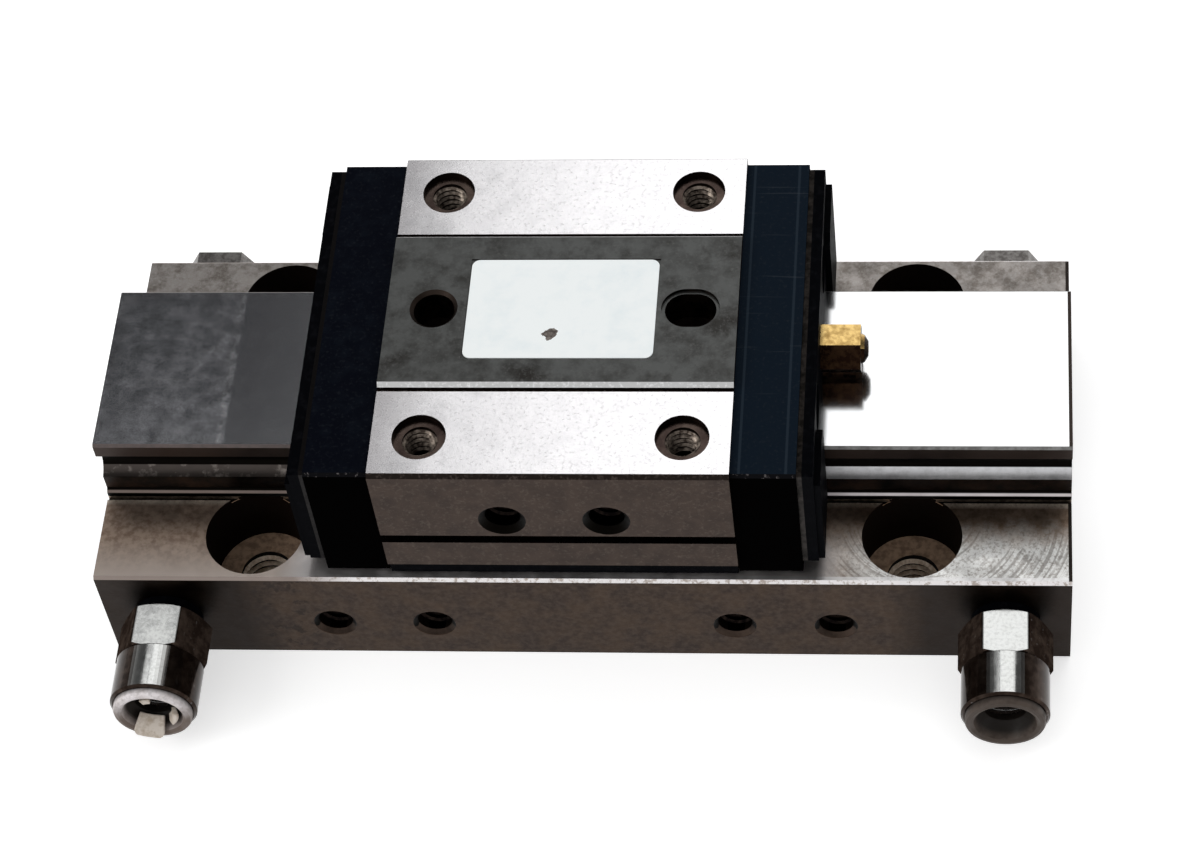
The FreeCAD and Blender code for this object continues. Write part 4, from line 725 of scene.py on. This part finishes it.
# Ball guides and end caps
# Moulded black plastic. The guides lead the balls into the turns inside the caps, and two
# screws hold each set to the block. The tops are scuffed and the front edges worn pale.
plastic = Finish("black cap plastic")
scuff = plastic.patch(1.4, 0.46, 0.72, 0.1)
fine_scuff = plastic.patch(0.35, 0.55, 0.75, 0.5)
scratches = plastic.effect(grinding, "Scratches", Place=plastic.place)
flat = plastic.sum("GREATER_THAN", plastic.facing_z, 0.9)
sloped = plastic.inside(plastic.facing_z, 0.3, 0.9, 0.01)
right_share = plastic.sum("GREATER_THAN", plastic.x, 0.0)
top = plastic.blend(right_share, (0.0008, 0.0016, 0.0050), (0.0035, 0.0085, 0.0160))
top = plastic.blend(plastic.sum("MULTIPLY", scuff, 0.3), top, (0.008, 0.012, 0.018))
top = plastic.blend(plastic.sum("MULTIPLY", fine_scuff, 0.3), top, (0.03, 0.035, 0.04))
ridge, far_ridge = (plastic.inside(plastic.x, start * MM, (start + 0.3) * MM) for start in (16.6, 21.0))
ridges = plastic.sum("MAXIMUM", ridge, far_ridge)
top = plastic.blend(plastic.sum("MULTIPLY", ridges, 0.6), top, (0.020, 0.030, 0.042))
marks = plastic.sum("MULTIPLY", scratches, plastic.sum("MULTIPLY", right_share, 0.12))
top = plastic.blend(marks, top, (0.09, 0.10, 0.11))
colour = plastic.blend(flat, (0.0012, 0.0011, 0.0011), top)
rubbed = plastic.blend(plastic.patch(0.5, 0.58, 0.64, 0.4), (0.006, 0.006, 0.007), (0.12, 0.11, 0.11))
colour = plastic.blend(sloped, colour, rubbed)
plastic.feed("Base Color", colour)
plastic.feed("Roughness", plastic.level(scuff, 0.5, 0.65))
plastic.fixed(Metallic=0.0)
plastic.feed("Specular IOR Level", plastic.level(flat, 0.0, 0.03))
plastic.relief(plastic.sum("ADD", scuff, scratches), 0.012, 0.4)
for name in ("end_cap_left", "end_cap_right", "ball_guide_left", "ball_guide_right"):
    wear(name, plastic)

# End seals, side seals and the plates behind them
# Black rubber wipers, each bonded to a thin steel plate that shows as a brown line at the edge.
# The gaskets, bumpers and piston seals are of the same rubber.
rubber = Finish("black wiper rubber")
dust = rubber.patch(0.9, 0.5, 0.75, 0.6)
rubber.feed("Base Color", rubber.blend(dust, (0.0012, 0.0014, 0.0022), (0.005, 0.0052, 0.0065)))
rubber.feed("Roughness", rubber.level(dust, 0.5, 0.7))
rubber.fixed(Metallic=0.0, Specular_IOR_Level=0.01)
rubber.relief(dust, 0.02, 0.4)
for name in ("end_seal_left", "end_seal_right", "side_seals", "fitting_gaskets", "plug_gaskets",
             "tube_seals", "end_plug_seals", "bumpers", "piston_seals"):
    wear(name, rubber)
plate = Finish("brown plate steel")
on_right = plate.sum("GREATER_THAN", plate.x, 0.0)
edge = plate.blend(plate.patch(0.8, 0.4, 0.6), (0.008, 0.007, 0.006), (0.028, 0.024, 0.022))
plate.feed("Base Color", plate.blend(on_right, (0.008, 0.007, 0.007), edge))
plate.feed("Roughness", plate.level(plate.patch(0.5, 0.4, 0.6, 0.2), 0.4, 0.55))
plate.fixed(Metallic=1.0)
for name in ("seal_plate_left", "seal_plate_right"):
    wear(name, plate)

# Grease nipple
# A turned brass hexagon with a domed end, screwed into the right cap through the end seal.
brass = Finish("turned brass")
tarnish = brass.patch(0.8, 0.4, 0.65)
gold = brass.blend(tarnish, (0.80, 0.56, 0.22), (0.50, 0.31, 0.10))
lower = brass.inside(brass.facing_z, -1.1, 0.72, 0.06)
shade = brass.blend(tarnish, (0.010, 0.0045, 0.003), (0.034, 0.018, 0.009))
brass.feed("Base Color", brass.blend(lower, gold, shade))
brass.feed("Roughness", brass.level(tarnish, 0.22, 0.4))
brass.fixed(Metallic=1.0)
wear("grease_nipple", brass)

# Push-in fittings
# Nickel-plated brass: a hexagon on an M5 stud, and a smooth barrel that holds the collet. What
# faces upward keeps a bright colour, the other faces are painted dark as shade, and the
# hexagon's side facets are painted black as shade.
FITTING_X = 41.6
FITTING_Z = 6.5
HEXAGON_START = 21.3
HEXAGON_LENGTH = 4.8

nickel = Finish("scratched nickel")
rub = nickel.patch(1.1, 0.42, 0.66)
fine_rub = nickel.patch(0.35, 0.45, 0.65, 0.3)
scratches = nickel.effect(grinding, "Scratches", Place=nickel.place)
bright = nickel.blend(fine_rub, (0.62, 0.63, 0.615), (0.52, 0.525, 0.515))
bright = nickel.blend(nickel.sum("MULTIPLY", rub, 0.25), bright, (0.82, 0.83, 0.83))
aside = nickel.size_of(nickel.sum("SUBTRACT", nickel.size_of(nickel.x), FITTING_X * MM))
hexagon_front = -(HEXAGON_START + HEXAGON_LENGTH - 0.05) * MM
on_hexagon = nickel.sum("GREATER_THAN", nickel.y, hexagon_front)
# The hexagon's facets beside its top are painted black as shade and made matt.
dull_shaded_facets = nickel.sum("MULTIPLY", on_hexagon, nickel.ramp(aside, 2.05 * MM, 2.2 * MM))
shaded = nickel.blend(rub, (0.020, 0.013, 0.010), (0.052, 0.037, 0.029))
black_facet = nickel.blend(rub, (0.006, 0.004, 0.003), (0.018, 0.012, 0.009))
bright = nickel.blend(dull_shaded_facets, bright, black_facet)
upward = nickel.ramp(nickel.facing_z, 0.91, 0.985)
plating = nickel.blend(upward, shaded, bright)
plating = nickel.blend(nickel.sum("MULTIPLY", scratches, 0.08), plating, (0.85, 0.85, 0.85))
nickel.feed("Base Color", plating)
nickel.feed("Roughness", nickel.level(rub, 0.10, 0.2))
nickel.feed("Metallic", nickel.level(dull_shaded_facets, nickel.level(upward, 0.8, 1.0), 0.0))
nickel.feed("Specular IOR Level", nickel.level(dull_shaded_facets, 0.05, 0.0))
nickel.relief(nickel.sum("ADD", rub, scratches), 0.004, 0.15)
dull_nickel = Finish("dull nickel")
film_of_oil = dull_nickel.patch(0.6, 0.4, 0.6)
dull_nickel.feed("Base Color", dull_nickel.blend(film_of_oil, (0.12, 0.11, 0.105), (0.24, 0.23, 0.22)))
dull_nickel.fixed(Metallic=1.0, Roughness=0.4)
wear("blanking_plugs", dull_nickel)


def spin_outline(name, corners, steps, smooth_degrees=35):
    """A turned piece about Z from its closed half outline."""
    piece = draw_closed(name, corners)
    bpy.ops.object.mode_set(mode="EDIT")
    bpy.ops.mesh.select_all(action="SELECT")
    bpy.ops.mesh.spin(steps=steps, angle=2 * math.pi, center=(0, 0, 0), axis=(0, 0, 1))
    bpy.ops.object.mode_set(mode="OBJECT")
    tidy_mesh(piece, smooth_degrees)
    return piece


def combine(piece, other, operation):
    """Joins, cuts or trims a piece with another, which is used up."""
    change = piece.modifiers.new("change", "BOOLEAN")
    change.operation = operation
    change.solver = "EXACT"
    change.object = other
    bpy.ops.object.select_all(action="DESELECT")
    bpy.context.view_layer.objects.active = piece
    piece.select_set(True)
    bpy.ops.object.modifier_apply(modifier=change.name)
    bpy.data.objects.remove(other)


def hexagon(name, flats, start, length):
    """A hexagonal bar about Z with a flat to +Y and corners broken by a turned chamfer."""
    bpy.ops.object.select_all(action="DESELECT")
    corner = flats / math.sqrt(3)
    middle = (0, 0, (start + length / 2) * MM)
    bpy.ops.mesh.primitive_cylinder_add(vertices=6, radius=corner * MM, depth=length * MM, location=middle)
    bar = bpy.context.object
    bar.name = name
    bar.rotation_euler = (0, 0, math.radians(30))
    bpy.ops.object.transform_apply(location=True, rotation=True)
    drop = 0.6 * (corner - flats / 2)
    near, far = flats / 2 - 0.02, corner + 0.02
    end = start + length
    trim = spin_outline("trim", [
        (0, start), (near, start), (far, start + drop), (far, end - drop), (near, end), (0, end)], steps=64)
    combine(bar, trim, "INTERSECT")
    return bar


def lay_down(piece):
    """Turns a piece from Z onto the fittings' axis, which points to the front."""
    bpy.ops.object.select_all(action="DESELECT")
    bpy.context.view_layer.objects.active = piece
    piece.select_set(True)
    piece.rotation_euler = (math.radians(90), 0, 0)
    bpy.ops.object.transform_apply(rotation=True)


turned_part = spin_outline("turned_part", [
    (1.25, 16.0), (2.3, 16.0), (2.45, 16.3), (2.45, 20.9), (3.4, 20.9), (3.4, 21.4), (3.3, 21.5),
    (3.3, 26.0), (4.15, 26.0), (4.3, 26.15), (4.3, 30.75), (4.05, 31.0), (3.25, 31.0), (3.25, 28.6),
    (2.1, 28.6), (2.1, 26.4), (1.25, 26.4)], steps=72)
bar = hexagon("bar", flats=8.0, start=HEXAGON_START, length=HEXAGON_LENGTH)
bore = spin_outline("bore", [(0, 20.0), (2.0, 20.0), (2.0, 27.0), (0, 27.0)], steps=48)
combine(bar, bore, "DIFFERENCE")
combine(turned_part, bar, "UNION")
tidy_mesh(turned_part, 30)
lay_down(turned_part)
for side, sign in (("left", -1), ("right", 1)):
    fitting = set_copies(turned_part, f"air_fitting_{side}", [(sign * FITTING_X, 0, FITTING_Z)])
    dress(fitting, nickel, "cylinder")
    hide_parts(f"port_fitting_{side}")
bpy.data.objects.remove(turned_part)

# Springy steel pieces
# Collets, snap rings, ball retainers, the balls and the drive pin, all hardened and polished.
spring = Finish("polished spring steel")
haze = spring.patch(1.0, 0.4, 0.6)
spring.feed("Base Color", spring.blend(haze, (0.55, 0.55, 0.56), (0.40, 0.39, 0.38)))
spring.feed("Roughness", spring.level(haze, 0.18, 0.32))
spring.fixed(Metallic=1.0)
for name in ("tube_collets", "retaining_rings", "ball_retainers", "bearing_balls", "drive_pin"):
    wear(name, spring)

# Release rings
# Moulded white plastic sleeves with a flange, pushed by a finger to free the tube. The
# piston's wear rings are of the same plastic.
white = Finish("white release plastic")
grime = white.patch(1.2, 0.42, 0.68)
fine_grime = white.patch(0.4, 0.45, 0.65, 0.4)
used_more = white.sum("GREATER_THAN", white.x, 0.0)
clean = white.blend(white.sum("MULTIPLY", grime, 0.5), (0.86, 0.81, 0.82), (0.60, 0.53, 0.50))
# Darker toward the bottom, as painted shade.
low = white.ramp(white.z, 8.6 * MM, 5.6 * MM)
clean = white.blend(white.sum("MULTIPLY", low, 0.8), clean, (0.20, 0.155, 0.13))
dirty = white.blend(grime, (0.098, 0.076, 0.063), (0.044, 0.032, 0.025))
tone = white.blend(used_more, clean, dirty)
tone = white.blend(white.sum("MULTIPLY", fine_grime, 0.3), tone, (0.10, 0.075, 0.06))
# Faces turned to the front are painted darker as shade.
frontward = white.sum("MULTIPLY", white.ramp(white.facing_y, -0.35, -0.8), 0.86)
front_share = white.sum("MULTIPLY", frontward, white.sum("MAXIMUM", low, used_more))
front_tone = white.blend(used_more, (0.115, 0.083, 0.065), (0.058, 0.043, 0.034))
tone = white.blend(front_share, tone, front_tone)
# Deep inside the opening is painted near black as shade.
deep = white.ramp(white.y, -31.6 * MM, -30.9 * MM)
tone = white.blend(deep, tone, (0.012, 0.009, 0.007))
white.feed("Base Color", tone)
white.feed("Roughness", white.level(grime, 0.42, 0.6))
white.fixed(Metallic=0.0, Specular_IOR_Level=0.2)
white.relief(grime, 0.02, 0.4)
wear("wear_rings", white)


def part_ring(name, corners, spread, aim, set_back=0.0):
    """A part of a turned ring that spans the given degrees about its aim, moved back along it."""
    piece = draw_closed(name, corners)
    bpy.ops.object.mode_set(mode="EDIT")
    bpy.ops.mesh.select_all(action="SELECT")
    bpy.ops.mesh.spin(steps=14, angle=math.radians(spread), center=(0, 0, 0), axis=(0, 0, 1))
    bpy.ops.mesh.select_all(action="SELECT")
    bpy.ops.mesh.fill_holes(sides=len(corners))
    bpy.ops.object.mode_set(mode="OBJECT")
    toward = math.radians(aim)
    piece.rotation_euler = (0, 0, toward + math.radians(spread / 2))
    piece.location = Vector((math.cos(toward), math.sin(toward), 0)) * -set_back * MM
    bpy.ops.object.transform_apply(location=True, rotation=True)
    round_off = piece.modifiers.new("round_off", "BEVEL")
    round_off.width = 0.12 * MM
    round_off.segments = 3
    bpy.ops.object.modifier_apply(modifier=round_off.name)
    tidy_mesh(piece, 50)
    return piece


def join_pieces(pieces, name):
    bpy.ops.object.select_all(action="DESELECT")
    for piece in pieces:
        piece.select_set(True)
    bpy.context.view_layer.objects.active = pieces[0]
    bpy.ops.object.join()
    pieces[0].name = name
    return pieces[0]


sleeve = spin_outline("sleeve", [
    (2.05, 29.5), (2.5, 29.5), (2.5, 30.45), (3.75, 30.45), (3.9, 30.6), (3.9, 31.55), (3.75, 31.8),
    (3.4, 31.88), (3.05, 31.7), (2.8, 31.1), (2.05, 30.1)], steps=72)
lay_down(sleeve)
for side, sign in (("left", -1), ("right", 1)):
    ring = set_copies(sleeve, f"release_sleeve_{side}", [(sign * FITTING_X, 0, FITTING_Z)])
    dress(ring, white, f"release_{side}")
    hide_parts(f"release_ring_{side}")
bpy.data.objects.remove(sleeve)

# Split claws of the left release ring: a long one below that stands out, and two stubs
LONG_CLAW_AIM = 254
TIP_RADIUS = 1.7

pale = Finish("clean white plastic")
yellowed = pale.patch(0.7, 0.42, 0.62)
pale.feed("Base Color", pale.blend(yellowed, (0.66, 0.59, 0.52), (0.46, 0.38, 0.30)))
pale.fixed(Metallic=0.0, Roughness=0.5, Specular_IOR_Level=0.3)
long_claw = part_ring("long_claw", [
    (4.75, 30.75), (5.05, 30.55), (5.4, 30.95), (5.9, 31.5), (6.3, 31.95), (6.55, 32.2), (6.45, 32.45),
    (6.2, 32.4), (5.8, 32.1), (5.2, 31.5)], spread=29, aim=LONG_CLAW_AIM, set_back=3.3)
round_tip = spin_outline("round_tip", [(0, 29), (TIP_RADIUS, 29), (TIP_RADIUS, 34), (0, 34)], steps=48)
tip_aim = math.radians(LONG_CLAW_AIM)
round_tip.location = Vector((math.cos(tip_aim), math.sin(tip_aim), 0)) * TIP_RADIUS * MM
combine(long_claw, round_tip, "INTERSECT")
tidy_mesh(long_claw, 50)
right_claw = part_ring("right_claw", [
    (1.75, 30.7), (2.2, 30.7), (2.6, 31.6), (2.4, 31.85), (1.95, 31.5)], spread=44, aim=338)
top_claw = part_ring("top_claw", [
    (1.5, 30.9), (2.1, 30.9), (2.15, 31.3), (1.45, 31.35)], spread=30, aim=104)
claws = join_pieces([long_claw, right_claw, top_claw], "claw_pattern")
lay_down(claws)
left_claws = set_copies(claws, "release_claws_left", [(-FITTING_X, 0, FITTING_Z)])
bpy.data.objects.remove(claws)
dress(left_claws, pale, "release_left")

# End plugs and piston
# Turned aluminium with fine rings from the lathe, held by retaining rings at the bore's ends.
alloy = Finish("turned aluminium")
bore_axis = (0, 0, 9.8 * MM)
on_face = alloy.step("ShaderNodeVectorMath", [(0, alloy.place), (1, (0, 1, 1))], operation="MULTIPLY")
from_axis = alloy.step("ShaderNodeVectorMath", [
    (0, on_face.outputs[0]), (1, bore_axis)], operation="DISTANCE").outputs["Value"]
rings = alloy.step("ShaderNodeTexNoise", [("W", from_axis), ("Scale", 5200.0), ("Detail", 2.0)],
                   noise_dimensions="1D").outputs["Fac"]
alloy.feed("Base Color", alloy.blend(rings, (0.42, 0.42, 0.43), (0.68, 0.68, 0.69)))
alloy.feed("Roughness", alloy.level(rings, 0.25, 0.4))
alloy.fixed(Metallic=1.0)
alloy.relief(rings, 0.01, 0.5)
for name in ("end_plug_left", "end_plug_right", "piston"):
    wear(name, alloy)

# Cap screws
# Black-oxide socket screws, two at each end, sunk through the end seals into the caps.
oxide = Finish("black oxide steel")
oxide.feed("Base Color", oxide.blend(oxide.patch(0.6, 0.4, 0.65), (0.02, 0.02, 0.022), (0.06, 0.055, 0.05)))
oxide.feed("Roughness", oxide.level(oxide.patch(0.4, 0.4, 0.6, 0.3), 0.35, 0.5))
oxide.fixed(Metallic=1.0)
wear("cap_screws", oxide)
